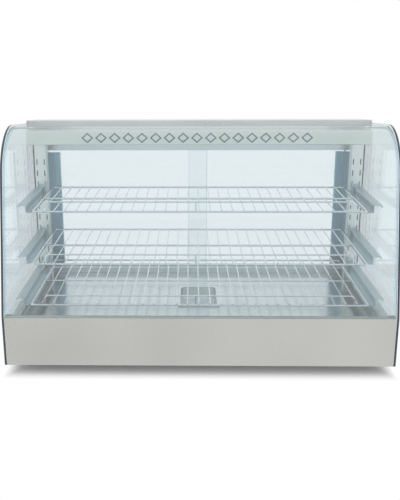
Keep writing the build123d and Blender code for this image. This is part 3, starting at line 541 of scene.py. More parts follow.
class GeometryTree:
    """A Geometry Nodes tree with named inputs, which is built once and used for many pieces."""

    def __init__(self, name: str, inputs: dict[str, str]) -> None:
        """Starts a tree, which has a Material input after the named ones.

        Args:
            name: The tree's name.
            inputs: The name of each input and its kind, which is Blender's socket type without
                the NodeSocket that starts it.
        """
        self.tree = bpy.data.node_groups.new(name, "GeometryNodeTree")
        self.identifiers: dict[str, str] = {}
        for title, kind in {**inputs, "Material": "Material"}.items():
            socket = self.tree.interface.new_socket(
                title, in_out="INPUT", socket_type="NodeSocket" + kind
            )
            self.identifiers[title] = socket.identifier
        self.tree.interface.new_socket("Geometry", in_out="OUTPUT", socket_type="NodeSocketGeometry")
        self.entry = self.tree.nodes.new("NodeGroupInput")

    def __getitem__(self, title: str) -> NodeSocket:
        """The socket of a named input."""
        return self.entry.outputs[title]

    def node(
        self, kind: str, inputs: dict[str | int, object], settings: dict[str, object] | None = None
    ) -> NodeSocket:
        """Adds a node.

        Args:
            kind: Blender's class name of the node.
            inputs: What each input socket holds or is linked to, by name or number.
            settings: The node's properties, which are set first.

        Returns:
            The node's first output.
        """
        node = self.tree.nodes.new(kind)
        for name, value in (settings or {}).items():
            setattr(node, name, value)
        for name, value in inputs.items():
            for part in value if isinstance(value, list) else [value]:
                if isinstance(part, NodeSocket):
                    self.tree.links.new(part, node.inputs[name])
                else:
                    node.inputs[name].default_value = part
        return next(socket for socket in node.outputs if socket.enabled)

    def vector(self, **parts: NodeSocket) -> NodeSocket:
        """A vector with the given X, Y and Z, of which the ones left out are 0."""
        return self.node("ShaderNodeCombineXYZ", parts)

    def sum(self, operation: str, *terms: NodeSocket | float) -> NodeSocket:
        """The result of a Math node with the given terms."""
        return self.node("ShaderNodeMath", dict(enumerate(terms)), {"operation": operation})

    def line(self, count: object, step: object, start: object = (0.0, 0.0, 0.0)) -> NodeSocket:
        """Points at even steps along a line."""
        inputs = {"Count": count, "Start Location": start, "Offset": step}
        return self.node("GeometryNodeMeshLine", inputs)

    def tube(self, path: NodeSocket) -> NodeSocket:
        """Round wire along a curve, by the inputs Wire Radius and Sides."""
        inputs = {"Radius": self["Wire Radius"], "Resolution": self["Sides"]}
        circle = self.node("GeometryNodeCurvePrimitiveCircle", inputs)
        inputs = {"Curve": path, "Profile Curve": circle, "Fill Caps": True}
        return self.node("GeometryNodeCurveToMesh", inputs)

    def copies(self, points: NodeSocket, shape: NodeSocket, **options: object) -> NodeSocket:
        """A copy of a shape at each point, turned or scaled by the options."""
        inputs = {"Points": points, "Instance": shape, **options}
        return self.node("GeometryNodeInstanceOnPoints", inputs)

    def close(self, shape: NodeSocket) -> "GeometryTree":
        """Realises the instances, gives them the Material input and ends the tree.

        Args:
            shape: The geometry to hand out.

        Returns:
            The tree itself.
        """
        real = self.node("GeometryNodeRealizeInstances", {"Geometry": shape})
        inputs = {"Geometry": real, "Material": self["Material"]}
        covered = self.node("GeometryNodeSetMaterial", inputs)
        self.tree.links.new(covered, self.tree.nodes.new("NodeGroupOutput").inputs[0])
        return self

    def make(
        self, name: str, finish: Finish, values: dict[str, object], start: Mesh | None = None
    ) -> Object:
        """Runs the tree and keeps its result as a plain mesh.

        Args:
            name: The new piece's name.
            finish: What it is made of.
            values: What each named input is.
            start: The mesh that the tree works on, if it has one.

        Returns:
            The piece, at the origin and with no modifier.
        """
        holder = add_object(name + "_source", start or bpy.data.meshes.new(name + "_source"))
        modifier = holder.modifiers.new("nodes", "NODES")
        modifier.node_group = self.tree
        for title, value in {**values, "Material": finish.material()}.items():
            modifier[self.identifiers[title]] = value
        mesh = evaluated_mesh(holder)
        mesh.name = name
        bpy.data.objects.remove(holder)
        return add_object(name, mesh)


def evaluated_mesh(made: Object) -> Mesh:
    """The mesh that an object's modifiers or characters come to."""
    bpy.context.view_layer.update()
    evaluated = made.evaluated_get(bpy.context.evaluated_depsgraph_get())
    return bpy.data.meshes.new_from_object(evaluated)


def add_object(name: str, data: ID) -> Object:
    """Puts a mesh, curve, camera or lamp into the scene, at the origin."""
    made = bpy.data.objects.new(name, data)
    bpy.context.scene.collection.objects.link(made)
    return made


def dressed(mesh: Mesh, *finishes: Finish) -> Mesh:
    """Gives a mesh its materials, and hands it back."""
    for finish in finishes:
        mesh.materials.append(finish.material())
    return mesh


def path_mesh(points: list[Point], closed: bool) -> Mesh:
    """A mesh of edges along a path.

    Args:
        points: The corners of the path.
        closed: True if the last corner joins the first.

    Returns:
        The mesh, for a tree that turns paths into wire.
    """
    mesh = bpy.data.meshes.new("path")
    edges = [(i, i + 1) for i in range(len(points) - 1)]
    if closed:
        edges.append((len(points) - 1, 0))
    mesh.from_pydata(points, edges, [])
    return mesh


def smooth_by_angle(mesh: Mesh, degrees: float = 32.0) -> None:
    """Smooth shading, with the edges over an angle kept sharp."""
    mesh.shade_smooth()
    mesh.set_sharp_from_angle(angle=math.radians(degrees))


def settled(made: Object) -> Object:
    """Gives a piece normals that keep its large faces flat, and leaves it a plain mesh.

    Args:
        made: The piece, with its sharp edges marked.

    Returns:
        The piece.
    """
    modifier = made.modifiers.new("normals", "WEIGHTED_NORMAL")
    modifier.keep_sharp = True
    modifier.weight = 100
    mesh = evaluated_mesh(made)
    made.modifiers.remove(modifier)
    made.data = mesh
    return made


def mesh_from(bm: bmesh.types.BMesh, name: str) -> Mesh:
    """Turns a bmesh into a mesh and frees it."""
    mesh = bpy.data.meshes.new(name)
    bm.to_mesh(mesh)
    bm.free()
    return mesh


def join_into(name: str, pieces: list[Object]) -> Object:
    """Joins pieces into one object.

    Args:
        name: The joined piece's name.
        pieces: The objects to join, all at the origin.

    Returns:
        The joined piece, with the materials of all of them.
    """
    bm = bmesh.new()
    materials: list[Material] = []
    for piece in pieces:
        numbers = []
        for material in piece.data.materials:
            if material not in materials:
                materials.append(material)
            numbers.append(materials.index(material))
        before = len(bm.faces)
        bm.from_mesh(piece.data)
        bm.faces.ensure_lookup_table()
        for face in bm.faces[before:]:
            face.material_index = numbers[face.material_index] if numbers else 0
    mesh = mesh_from(bm, name)
    for material in materials:
        mesh.materials.append(material)
    for piece in pieces:
        bpy.data.objects.remove(piece)
    smooth_by_angle(mesh)
    return settled(add_object(name, mesh))


def node_bmesh(node: str) -> bmesh.types.BMesh:
    """A copy of a CAD node's mesh, with its double points merged."""
    bm = bmesh.new()
    bm.from_mesh(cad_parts[node].data)
    bmesh.ops.remove_doubles(bm, verts=bm.verts, dist=MERGE_GAP)
    return bm


def flat_bmesh(node: str) -> bmesh.types.BMesh:
    """A copy of a CAD node's mesh, with its flat stretches as single faces."""
    bm = node_bmesh(node)
    bmesh.ops.dissolve_limit(
        bm, angle_limit=FLAT_ANGLE, verts=bm.verts, edges=bm.edges, delimit=set()
    )
    return bm


@dataclass(frozen=True)
class Refined:
    """A CAD node's shape with softened edges, so that they catch the light.

    Faces that look the far way, where that is given, have a finish of their own, which paints light or
    shade onto that side as a lighter, darker or bluer copy of the same metal.
    """

    node: str
    finish: Finish
    bevel: float = 0.3 * MM
    edge_angle: float = 28.0
    far_way: Point = (0.0, 0.0, 0.0)
    far_finish: Finish | None = None
    far_share: float = 0.5
    smooth_angle: float = 40.0

    def build(self) -> Object:
        """Makes the piece that stands for the node, with its true sharp edges rounded."""
        bm = flat_bmesh(self.node)
        if self.bevel:
            limit = math.radians(self.edge_angle)
            sharp = [e for e in bm.edges if e.is_manifold and e.calc_face_angle() > limit]
            round_edges(bm, sharp, self.bevel, 2)
            bmesh.ops.remove_doubles(bm, verts=bm.verts, dist=MERGE_GAP / 2)
        mesh = dressed(mesh_from(bm, self.node + "_piece"), self.finish)
        if self.far_finish:
            dressed(mesh, self.far_finish)
            for face in mesh.polygons:
                face.material_index = int(face.normal.dot(self.far_way) > self.far_share)
        smooth_by_angle(mesh, self.smooth_angle)
        return settled(add_object(self.node + "_piece", mesh))


def place(piece: Object, body: str, slot: str, replaced: tuple[str, ...] = ()) -> None:
    """Seats a finished piece in the frame.

    Args:
        piece: The finished piece.
        body: The CAD body that it rides on.
        slot: The record's material slot for it, which is not used.
        replaced: The CAD nodes that it stands for.
    """
    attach(piece, body)
    if replaced:
        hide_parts(*replaced)
    log.info("%s: %d faces on %s", piece.name, len(piece.data.polygons), body)


def refine(node: str, finish: Finish, slot: str, body: str = "case", **options: object) -> None:
    """Replaces a CAD node by its refined copy.

    Args:
        node: The CAD node.
        finish: What it is made of.
        slot: The record's material slot for it.
        body: The CAD body that it rides on.
        options: The bevel, the edge angle or a far finish, where they aren't the usual ones.
    """
    place(Refined(node, finish, **options).build(), body, slot, (node,))


class Trees:
    """The Geometry Nodes trees of this object: wire along a path, rows of wires, repeats and rings."""

    def __init__(self) -> None:
        """Builds each tree once."""
        self.wire = self._wire()
        self.wire_row = self._wire_row()
        self.row = self._row()
        self.ring = self._ring()
        self.scatter = self._scatter()

    def around(
        self, name: str, finish: Finish, count: int, step: float, shape: Mesh, first: float = 0.0
    ) -> Object:
        """Makes a ring of copies.

        Args:
            name: The new piece's name.
            finish: What it is made of.
            count: How many copies it has.
            step: The angle from one to the next.
            shape: The mesh to copy, at its place for an angle of 0.
            first: The angle of the first copy.

        Returns:
            The ring, about the Z axis.
        """
        values = {"Count": count, "First Angle": first, "Angle Step": step}
        return self.ring.make(name, finish, values, shape)

    @staticmethod
    def _wire() -> GeometryTree:
        """Round wire along the edges of a path mesh, with rounded corners."""
        tree = GeometryTree(
            "wire_along_path",
            {
                "Path": "Geometry", "Wire Radius": "Float", "Corner Radius": "Float",
                "Sides": "Int", "Corner Points": "Int",
            },
        )
        line = tree.node("GeometryNodeMeshToCurve", {"Mesh": tree["Path"]})
        inputs = {
            "Curve": line, "Radius": tree["Corner Radius"], "Count": tree["Corner Points"],
            "Limit Radius": True,
        }
        return tree.close(tree.tube(tree.node("GeometryNodeFilletCurve", inputs, {"mode": "POLY"})))

    @staticmethod
    def _wire_row() -> GeometryTree:
        """A row of parallel wires that run along Y, with a small weld where each crosses a rail."""
        tree = GeometryTree(
            "row_of_cross_wires",
            {
                "Count": "Int", "Pitch": "Float", "Length": "Float", "Wire Radius": "Float",
                "Sides": "Int", "Start": "Vector", "Rail Span": "Float", "Weld Radius": "Float",
            },
        )
        line = tree.line(tree["Count"], tree.vector(X=tree["Pitch"]), tree["Start"])
        reach = tree.vector(Y=tree["Length"])
        wire = tree.tube(tree.node("GeometryNodeCurvePrimitiveLine", {"End": reach}))
        inputs = {"Radius": tree["Weld Radius"], "Subdivisions": 2}
        bead = tree.node("GeometryNodeMeshIcoSphere", inputs)
        trio = tree.line(3, tree.vector(Y=tree.sum("MULTIPLY", tree["Rail Span"], 0.5)))
        margin = tree.sum("MULTIPLY", tree.sum("SUBTRACT", tree["Length"], tree["Rail Span"]), 0.5)
        sunk = tree.sum("MULTIPLY", tree["Wire Radius"], -0.8)
        inputs = {
            "Geometry": tree.copies(trio, bead, Scale=(1.1, 1.5, 0.8)),
            "Translation": tree.vector(Y=margin, Z=sunk),
        }
        beads = tree.node("GeometryNodeTransform", inputs)
        both = [tree.copies(line, wire), tree.copies(line, beads)]
        return tree.close(tree.node("GeometryNodeJoinGeometry", {"Geometry": both}))

    @staticmethod
    def _row() -> GeometryTree:
        """Copies of a shape at even steps."""
        inputs = {"Shape": "Geometry", "Count": "Int", "Start": "Vector", "Step": "Vector"}
        tree = GeometryTree("row_of_copies", inputs)
        line = tree.line(tree["Count"], tree["Step"], tree["Start"])
        return tree.close(tree.copies(line, tree["Shape"]))

    @staticmethod
    def _ring() -> GeometryTree:
        """Copies of a shape turned about the Z axis, through a given sweep of angle."""
        inputs = {
            "Shape": "Geometry", "Count": "Int", "First Angle": "Float", "Angle Step": "Float",
        }
        tree = GeometryTree("ring_of_copies", inputs)
        number = tree.node("GeometryNodeInputIndex", {})
        turn = tree.sum("MULTIPLY_ADD", number, tree["Angle Step"], tree["First Angle"])
        line = tree.line(tree["Count"], (0.0, 0.0, 0.0))
        return tree.close(tree.copies(line, tree["Shape"], Rotation=tree.vector(Z=turn)))

    @staticmethod
    def _scatter() -> GeometryTree:
        """A copy of another object's shape at each point of a mesh."""
        tree = GeometryTree("copies_on_points", {"Points": "Geometry", "Shape": "Object"})
        info = tree.tree.nodes.new("GeometryNodeObjectInfo")
        tree.tree.links.new(tree["Shape"], info.inputs["Object"])
        return tree.close(tree.copies(tree["Points"], info.outputs["Geometry"]))


def turned(name: str, profile: list[tuple[float, float]], sides: int = 48) -> Mesh:
    """A closed solid turned about the Z axis.

    Args:
        name: The mesh's name.
        profile: Points (radius, height), from the axis at one end to the axis at the other.
        sides: How many sides the turned shape has.

    Returns:
        The mesh, with its faces pointing outwards.
    """
    bm = bmesh.new()
    rings = []
    for radius, height in profile:
        count = 1 if radius == 0 else sides
        turns = [2 * math.pi * i / sides for i in range(count)]
        rings.append(
            [bm.verts.new((radius * math.cos(t), radius * math.sin(t), height)) for t in turns]
        )
    for low, high in zip(rings, rings[1:]):
        for i in range(sides):
            j = (i + 1) % sides
            corners = [low[i % len(low)], low[j % len(low)], high[j % len(high)], high[i % len(high)]]
            unique = list(dict.fromkeys(corners))
            if len(unique) > 2:
                bm.faces.new(unique)
    bmesh.ops.recalc_face_normals(bm, faces=bm.faces)
    return mesh_from(bm, name)


def round_edges(
    bm: bmesh.types.BMesh, edges: list[bmesh.types.BMEdge], radius: float, segments: int
) -> None:
    """Rounds some edges of a bmesh, each in the given number of steps."""
    bmesh.ops.bevel(
        bm, geom=edges, offset=radius, offset_type="OFFSET", segments=segments, profile=0.5,
        affect="EDGES", clamp_overlap=True,
    )


def rounded_block(size: Point, centre: Point, bevel: float, segments: int = 2) -> Mesh:
    """A block with rounded edges.

    Args:
        size: Its width, depth and height.
        centre: Its middle.
        bevel: The radius of its edges.
        segments: How many steps each rounding has.

    Returns:
        The mesh.
    """
    bm = bmesh.new()
    bmesh.ops.create_cube(bm, size=1.0)
    bmesh.ops.transform(
        bm, matrix=Matrix.Translation(centre) @ Matrix.Diagonal((*size, 1.0)), verts=bm.verts
    )
    round_edges(bm, bm.edges[:], bevel, segments)
    return mesh_from(bm, "rounded_block")


def place_block(
    name: str, size: Point, centre: Point, bevel: float, finish: Finish, slot: str,
    body: str = "case",
) -> None:
    """Makes a small piece of trim, as a block with rounded edges, and seats it.

    Args:
        name: The piece's name.
        size: Its width, depth and height.
        centre: Its middle.
        bevel: The radius of its edges.
        finish: What it is made of.
        slot: The record's material slot for it.
        body: The CAD body that it rides on.
    """
    mesh = dressed(rounded_block(size, centre, bevel), finish)
    smooth_by_angle(mesh)
    place(add_object(name, mesh), body, slot)


def flat_pane(node: str, body: str, axis: int, clear: Finish, rim: Finish) -> None:
    """Makes a flat glass sheet whose broad faces are clear and whose edges show the rim.

    An edge that butts against another piece from the front, inside the sheet's outline, is clear
    too.

    Args:
        node: The CAD node of the sheet.
        body: The CAD body that it rides on.
        axis: The axis that the broad faces look along.
        clear: The finish of the broad faces.
        rim: The finish of the edges.
    """
    bm = flat_bmesh(node)
    bm.normal_update()
    butt_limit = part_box(node)[1].y - BUTT_REACH
    for face in bm.faces:
        butts = face.normal.y > FACING and face.calc_center_median().y < butt_limit
        face.material_index = int(abs(face.normal[axis]) < FACING and not butts)
    place_pane(node, body, bm, clear, rim)


def place_pane(node: str, body: str, bm: bmesh.types.BMesh, *finishes: Finish) -> None:
    """Turns a bmesh into the glass that stands for a CAD node, and seats it."""
    mesh = dressed(mesh_from(bm, node + "_pane"), *finishes)
    smooth_by_angle(mesh, PANE_ANGLE)
    place(add_object(node + "_pane", mesh), body, "clear_glass", (node,))


# Turns a shape that faces +Z into one on the rear panel, facing +Y with its top at +Z
FACING_REAR = Matrix(((-1, 0, 0, 0), (0, 0, 1, 0), (0, 1, 0, 0), (0, 0, 0, 1)))


@dataclass
class GlassHouse:
    """The bent front glass and the two side glasses, with the seals along the front glass."""

    seal_depth: float = 1.2 * MM
    seal_height: float = 3.6 * MM
    seal_rise: float = 2.6 * MM
    seal_play: float = 1 * MM
    seal_places: tuple[tuple[str, float], ...] = (("outer", -0.9 * MM), ("inner", 5.9 * MM))
    # Width of the painted light along each end of the front glass
    band: float = 4.2 * MM
    foot_gap: float = 0.5 * MM
    end_facing: float = 0.7

    def bent_pane(self) -> None:
        """Makes the bent front glass, which is paler along its two ends, where its edge shines in."""
        node = "front_glass"
        bm = flat_bmesh(node)
        low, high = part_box(node)
        for x in (low.x + self.band, high.x - self.band):
            bmesh.ops.bisect_plane(
                bm, geom=[*bm.verts, *bm.edges, *bm.faces], plane_co=(x, 0, 0), plane_no=(1, 0, 0)
            )
        bm.normal_update()
        for face in bm.faces:
            middle = face.calc_center_median()
            if abs(face.normal.x) > self.end_facing or middle.z - low.z < self.foot_gap:
                face.material_index = 1
            # Faces along the two ends get the painted light.
            elif abs(middle.x) > high.x - self.band:
                face.material_index = 2
        place_pane(node, "case", bm, FRONT_CLEAR, FRONT_RIM, FRONT_EDGE_PAINTED_LIGHT)

    def build(self) -> None:
        """Makes the three glasses and the seals."""
        self.bent_pane()
        for side in Side:
            flat_pane(f"{side}_side_glass", "case", 0, SIDE_CLEAR, SIDE_RIM)
        low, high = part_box("front_glass")
        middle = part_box("front_panel")[1].z - self.seal_height / 2 + self.seal_rise
        for name, shift in self.seal_places:
            place_block(
                f"front_seal_{name}",
                (high.x - low.x - self.seal_play, self.seal_depth, self.seal_height),
                (0.0, low.y + shift, middle), 0.3 * MM, SEAL, "rubber_black",
            )


@dataclass
class Base:
    """The stainless base: panels, deck, water pan, bottom plate and feet.

    Its open ends are closed by thin returns. The rear ones lap into the sheets beside and above them,
    and the front ones lie on the outer face, a little sunk into it.
    """

    foot_ribs: int = 24
    sheet: float = 1.2 * MM
    lap: float = 0.3 * MM
    rear_return: float = 0.9 * MM
    rear_inset: float = 0.7 * MM
    front_return: float = 0.22 * MM
    front_sink: float = 0.05 * MM

    def end_returns(self, side: Side) -> None:
        """The turned-in ends that close the base at its front and rear corners.

        Args:
            side: Which end of the base.
        """
        low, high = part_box(f"{side}_side_panel")
        middle = (low + high) / 2
        control_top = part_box("rear_control_panel")[1].z + self.lap
        inset = self.sheet - self.lap
        top = high.z - inset
        place_block(
            f"{side}_rear_return",
            (high.x - low.x - 2 * inset, self.rear_return, top - control_top),
            (middle.x, high.y - self.rear_inset, (top + control_top) / 2), 0.1 * MM, SHEET_DEEP,
            "brushed_steel",
        )
        front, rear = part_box("front_panel")[0].y + self.lap, low.y + 2 * self.lap
        shift = side.sign * (self.front_return / 2 - self.front_sink)
        place_block(
            f"{side}_front_return",
            (self.front_return, rear - front, high.z - low.z - 2 * self.lap),
            (side.outer(f"{side}_side_panel") + shift, (front + rear) / 2, middle.z), 0.04 * MM,
            SHEET_DEEP, "brushed_steel",
        )

    def panels(self) -> None:
        """The folded sheets, the glass channel, the deck and the water pan."""
        refine("front_panel", SHEET_ACROSS, "brushed_steel")
        refine("front_glass_channel", SHEET_ACROSS, "brushed_steel", bevel=0.25 * MM)
        for side in Side:
            # The side panels' inward, upward faces carry painted light.
            refine(
                f"{side}_side_panel", SHEET_DEEP, "brushed_steel",
                far_way=(-side.sign, 0.0, 1.0), far_finish=LEDGE_PAINTED_LIGHT,
            )
            self.end_returns(side)
        refine("bottom_plate", SHEET_ACROSS, "brushed_steel", bevel=0.2 * MM)
        refine("deck_plate", POLISHED, "polished_steel")
        refine("water_pan", PAN_METAL, "polished_steel", "water_pan", bevel=0.2 * MM, edge_angle=40.0)

    def foot(self, trees: Trees, node: str) -> None:
        """A rubber foot with moulded grip ribs round its wall.

        Args:
            trees: The Geometry Nodes trees.
            node: The CAD node that it stands for.
        """
        low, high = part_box(node)
        middle = (low + high) / 2
        radius, height = (high.x - low.x) / 2, high.z - low.z
        body = turned(
            node + "_rubber",
            [
                (0.0, 6.0 * MM), (7.4 * MM, 6.0 * MM), (8.0 * MM, 5.4 * MM), (8.0 * MM, 0.6 * MM),
                (8.6 * MM, 0.0), (radius - 6.6 * MM, 0.0), (radius - 5.8 * MM, 0.4 * MM),
                (radius - 3.2 * MM, 3.0 * MM), (radius - 0.8 * MM, height - 1.0 * MM),
                (radius - 0.5 * MM, height), (0.0, height),
            ],
        )
        rib = rounded_block(
            (1.2 * MM, 1.4 * MM, height - 9 * MM), (radius - 1.9 * MM, 0.0, height / 2 + 1 * MM),
            0.4 * MM,
        )
        ribs = trees.around(node + "_ribs", RUBBER, self.foot_ribs, 2 * math.pi / self.foot_ribs, rib)
        wall = add_object(node + "_body", dressed(body, RUBBER))
        piece = join_into(node + "_piece", [wall, ribs])
        piece.data.transform(Matrix.Translation((middle.x, middle.y, low.z)))
        place(piece, "case", "rubber_black", (node,))

    def build(self, trees: Trees) -> None:
        """Makes the base."""
        self.panels()
        for end in ("front", "rear"):
            for side in Side:
                self.foot(trees, f"{end}_{side}_foot")
        refine("foot_screws", SCREW_METAL, "screw_steel")


@dataclass
class RoofAndLamp:
    """The roof tray, the lamp housing with its valance, the lamp, the header and the rear posts."""

    etched_count: int = 17
    etched_size: tuple[float, float] = (31.0 * MM, 27.0 * MM)
    etched_stroke: float = 0.34
    etched_span: float = 0.565
    etched_centre: float = -0.004
    etched_proud: float = 0.12 * MM
    etched_rise: float = 0.5 * MM
    etched_edge: float = 0.02

    def etched_row(self, trees: Trees) -> None:
        """A plain row of outlined lozenges across the valance."""
        low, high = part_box("lamp_housing")
        width, height = self.etched_size
        corners = [(-width / 2, 0), (0, -height / 2), (width / 2, 0), (0, height / 2)]
        inner = 1.0 - self.etched_stroke
        bm = bmesh.new()
        rings = [
            [bm.verts.new((x * reach, y, z * reach)) for x, z in corners]
            for reach, y in (
                (1.0, 0.0), (1.0 - self.etched_edge, -self.etched_proud),
                (inner + self.etched_edge, -self.etched_proud), (inner, 0.0),
            )
        ]
        for i in range(4):
            j = (i + 1) % 4
            for k, ring in enumerate(rings):
                following = rings[(k + 1) % len(rings)]
                bm.faces.new((ring[i], ring[j], following[j], following[i]))
        bmesh.ops.recalc_face_normals(bm, faces=bm.faces)
        middle = (low.z + high.z) / 2 + self.etched_rise
        pitch = self.etched_span / (self.etched_count - 1)
        row = trees.row.make(
            "valance_lozenges", ETCHED,
            {
                "Count": self.etched_count,
                "Start": (self.etched_centre - self.etched_span / 2, low.y, middle),
                "Step": (pitch, 0.0, 0.0),
            },
            mesh_from(bm, "lozenge"),
        )
        place(row, "case", "brushed_steel")

    def build(self, trees: Trees) -> None:
        """Makes the top of the case."""
        refine("roof_panel", ROOF_SHEET, "brushed_steel")
        # The lamp housing's upward faces carry painted light.
        refine(
            "lamp_housing", VALANCE_SHEET, "brushed_steel",
            far_way=(0.0, 0.0, 1.0), far_finish=HOUSING_TOP_PAINTED_LIGHT,
        )
        refine("rear_header", SHEET_ACROSS, "brushed_steel", bevel=0.25 * MM)
        refine("lamp_diffuser", OPAL, "opal_plastic", bevel=0.5 * MM)
        refine("lamp_tube", FROSTED_TUBE, "lamp_glass")
        refine("lamp_sockets", WHITE_PLASTIC, "white_plastic", bevel=0.4 * MM)
        for side in Side:
            # Painted light on the posts' inner faces, the plainer steel on their outer faces.
            refine(
                f"{side}_rear_post", SHEET_UP_PAINTED_LIGHT, "brushed_steel",
                far_way=(side.sign, 1.0, 0.0), far_finish=SHEET_UP_OUTSIDE,
            )
        self.etched_row(trees)


@dataclass
class ShelfSupport:
    """The slotted uprights with dark rubber strips that paint the shade beside them, and the six
    brackets that hook into them.
    """

    strip_width: float = 2.4 * MM
    strip_depth: float = 4.0 * MM
    strip_gap: float = 0.35 * MM
    skin: float = 0.3 * MM

    def upright(self, side: Side) -> None:
        """A slotted upright, with painted shade on its inner faces."""
        node = f"{side}_upright"
        low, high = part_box(node)
        # Painted light on the upright's inner faces, the plainer steel on its outer faces.
        piece = Refined(
            node, UPRIGHT_PAINTED_LIGHT, bevel=0.15 * MM, far_way=(side.sign, 1.0, 0.0),
            far_finish=SHEET_UP_OUTSIDE,
        ).build()
        dressed(piece.data, PAINTED_SHADE_INSIDE)
        # Faces inside the box section get the painted shade.
        for face in piece.data.polygons:
            if min(*(face.center - low), *(high - face.center)) > self.skin:
                face.material_index = 2
        place(piece, "case", "brushed_steel", (node,))

    def strip(self, side: Side) -> None:
        """A dark rubber strip down the outer side of an upright, above the base, which paints the shade
        of the gap beside it.
        """
        node = f"{side}_upright"
        low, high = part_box(node)
        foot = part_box(f"{side}_side_panel")[1].z + 1.0 * MM
        middle = side.outer(node) + side.sign * (self.strip_gap + self.strip_width / 2)
        # The strip is painted shade for the gap between the upright and the side glass.
        place_block(
            node + "_strip", (self.strip_width, self.strip_depth, high.z - foot),
            (middle, low.y + self.strip_depth / 2, (high.z + foot) / 2), 0.4 * MM, RUBBER,
            "rubber_black",
        )

    def build(self) -> None:
        """Makes the uprights and brackets."""
        for side in Side:
            self.upright(side)
            self.strip(side)
            for tier in Tier:
                # Painted reflection on the brackets' inner faces, the plainer steel on their outer
                # faces.
                refine(
                    f"{tier}_{side}_bracket", BRACKET_PAINTED_REFLECTION, "bracket_steel",
                    far_way=(side.sign, 0.0, 0.0), far_finish=BRACKET_OUTSIDE,
                )


@dataclass
class WireShelf:
    """One wire shelf and the guard wire along its front, which lift off together."""

    tier: Tier
    frame_radius: float = 2.5 * MM
    cross_radius: float = 1.6 * MM
    guard_radius: float = 1.9 * MM
    corner: float = 7.5 * MM
    guard_corner: float = 9.0 * MM
    cross_count: int = 29
    cross_sides: int = 10
    corner_points: int = 7
    half_pitches: int = 15
    weld: float = 0.5 * MM
    bead_radius: float = 1.5 * MM
    strut_x: float = -8.0 * MM
    sides: int = 14

    def wire(
        self, trees: Trees, name: str, points: list[Point], radius: float, corner: float = 0.0,
        closed: bool = False,
    ) -> Object:
        """Bends one wire.

        Args:
            trees: The Geometry Nodes trees.
            name: The wire's name.
            points: The corners of its path.
            radius: The radius of the wire.
            corner: The radius of its bends.
            closed: True if it is a ring.

        Returns:
            The wire as a plain mesh.
        """
        values = {
            "Wire Radius": radius, "Corner Radius": corner, "Sides": self.sides,
            "Corner Points": self.corner_points,
        }
        return trees.wire.make(name, PLATED_WIRE, values, path_mesh(points, closed))

    def rack(self, trees: Trees, node: str) -> Object:
        """The ring, the middle rail and the cross wires of the shelf."""
        low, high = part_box(node)
        r = self.frame_radius
        z = low.z + r
        left, right, front, rear = low.x + r, high.x - r, low.y + r, high.y - r
        corners = [(left, front, z), (right, front, z), (right, rear, z), (left, rear, z)]
        ring = self.wire(trees, node + "_ring", corners, r, self.corner, closed=True)
        middle = (front + rear) / 2
        rail = self.wire(trees, node + "_rail", [(left, middle, z), (right, middle, z)], r)
        pitch = right / self.half_pitches
        start = (-pitch * (self.cross_count - 1) / 2, low.y, z + r + self.cross_radius - self.weld)
        cross = trees.wire_row.make(
            node + "_cross_wires", PLATED_WIRE,
            {
                "Count": self.cross_count, "Pitch": pitch, "Length": high.y - low.y,
                "Wire Radius": self.cross_radius, "Sides": self.cross_sides, "Start": start,
                "Rail Span": rear - front, "Weld Radius": self.bead_radius,
            },
        )
        return join_into(node + "_wires", [ring, rail, cross])

    def guard(self, trees: Trees, node: str) -> Object:
        """The guard wire along the front, with its strut."""
        low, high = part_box(node)
        r = self.guard_radius
        y = (low.y + high.y) / 2
        half, top, foot = high.x - r, high.z - r, low.z
        path = [(-half, y, foot), (-half, y, top), (half, y, top), (half, y, foot)]
        rail = self.wire(trees, node + "_rail", path, r, self.guard_corner)
        path = [(self.strut_x, y, foot), (self.strut_x, y, top)]
        strut = self.wire(trees, node + "_strut", path, r)
        return join_into(node + "_wire", [rail, strut])

    def build(self, trees: Trees) -> None:
        """Makes the shelf and its guard."""
        name = f"{self.tier}_shelf"
        for node, make in ((name, self.rack), (name + "_guard", self.guard)):
            place(make(trees, node), name, "shelf_wire", (node,))


@dataclass
class SlidingDoors:
    """The two glass doors with their handles and glides, and the track and sill they run in."""

    clip_widths: tuple[float, float] = (16.0 * MM, 6.0 * MM)
    clip_depth: float = 3.0 * MM
    clip_height: float = 6.6 * MM

    def clip(self, side: Side) -> None:
        """A clip on the glass, between the top of the handle and the track, wider on the left door."""
        low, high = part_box(f"{side}_door_handle")
        glass_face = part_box(f"{side}_door_glass")[0].y
        width = self.clip_widths[0] if side is Side.LEFT else self.clip_widths[1]
        middle = low.x + 1 * MM + width / 2 if side is Side.LEFT else (low.x + high.x) / 2
        # The clip takes the brackets' bluer copy of the steel, a painted reflection.
        place_block(
            f"{side}_door_clip", (width, self.clip_depth, self.clip_height),
            (middle, glass_face - self.clip_depth / 2 - 0.1 * MM, high.z + self.clip_height / 2),
            0.4 * MM, BRACKET_PAINTED_REFLECTION, "screw_steel", f"{side}_door",
        )

    def build(self) -> None:
        """Makes the doors and their tracks."""
        refine("door_top_track", TRACK_METAL, "aluminium_profile")
        refine("door_sill", TRACK_METAL, "aluminium_profile")
        for side in Side:
            body = f"{side}_door"
            flat_pane(f"{body}_glass", body, 1, DOOR_CLEAR, DOOR_RIM)
            # Painted reflection on the handle's front faces, the plainer aluminium on its rear faces.
            refine(
                f"{body}_handle", ALUMINIUM_PAINTED_REFLECTION, "aluminium_profile", body,
                far_way=(0.0, 1.0, 0.0), far_finish=ALUMINIUM_OUTSIDE,
            )
            refine(f"{body}_glides", WHITE_PLASTIC, "white_plastic", body)
            self.clip(side)


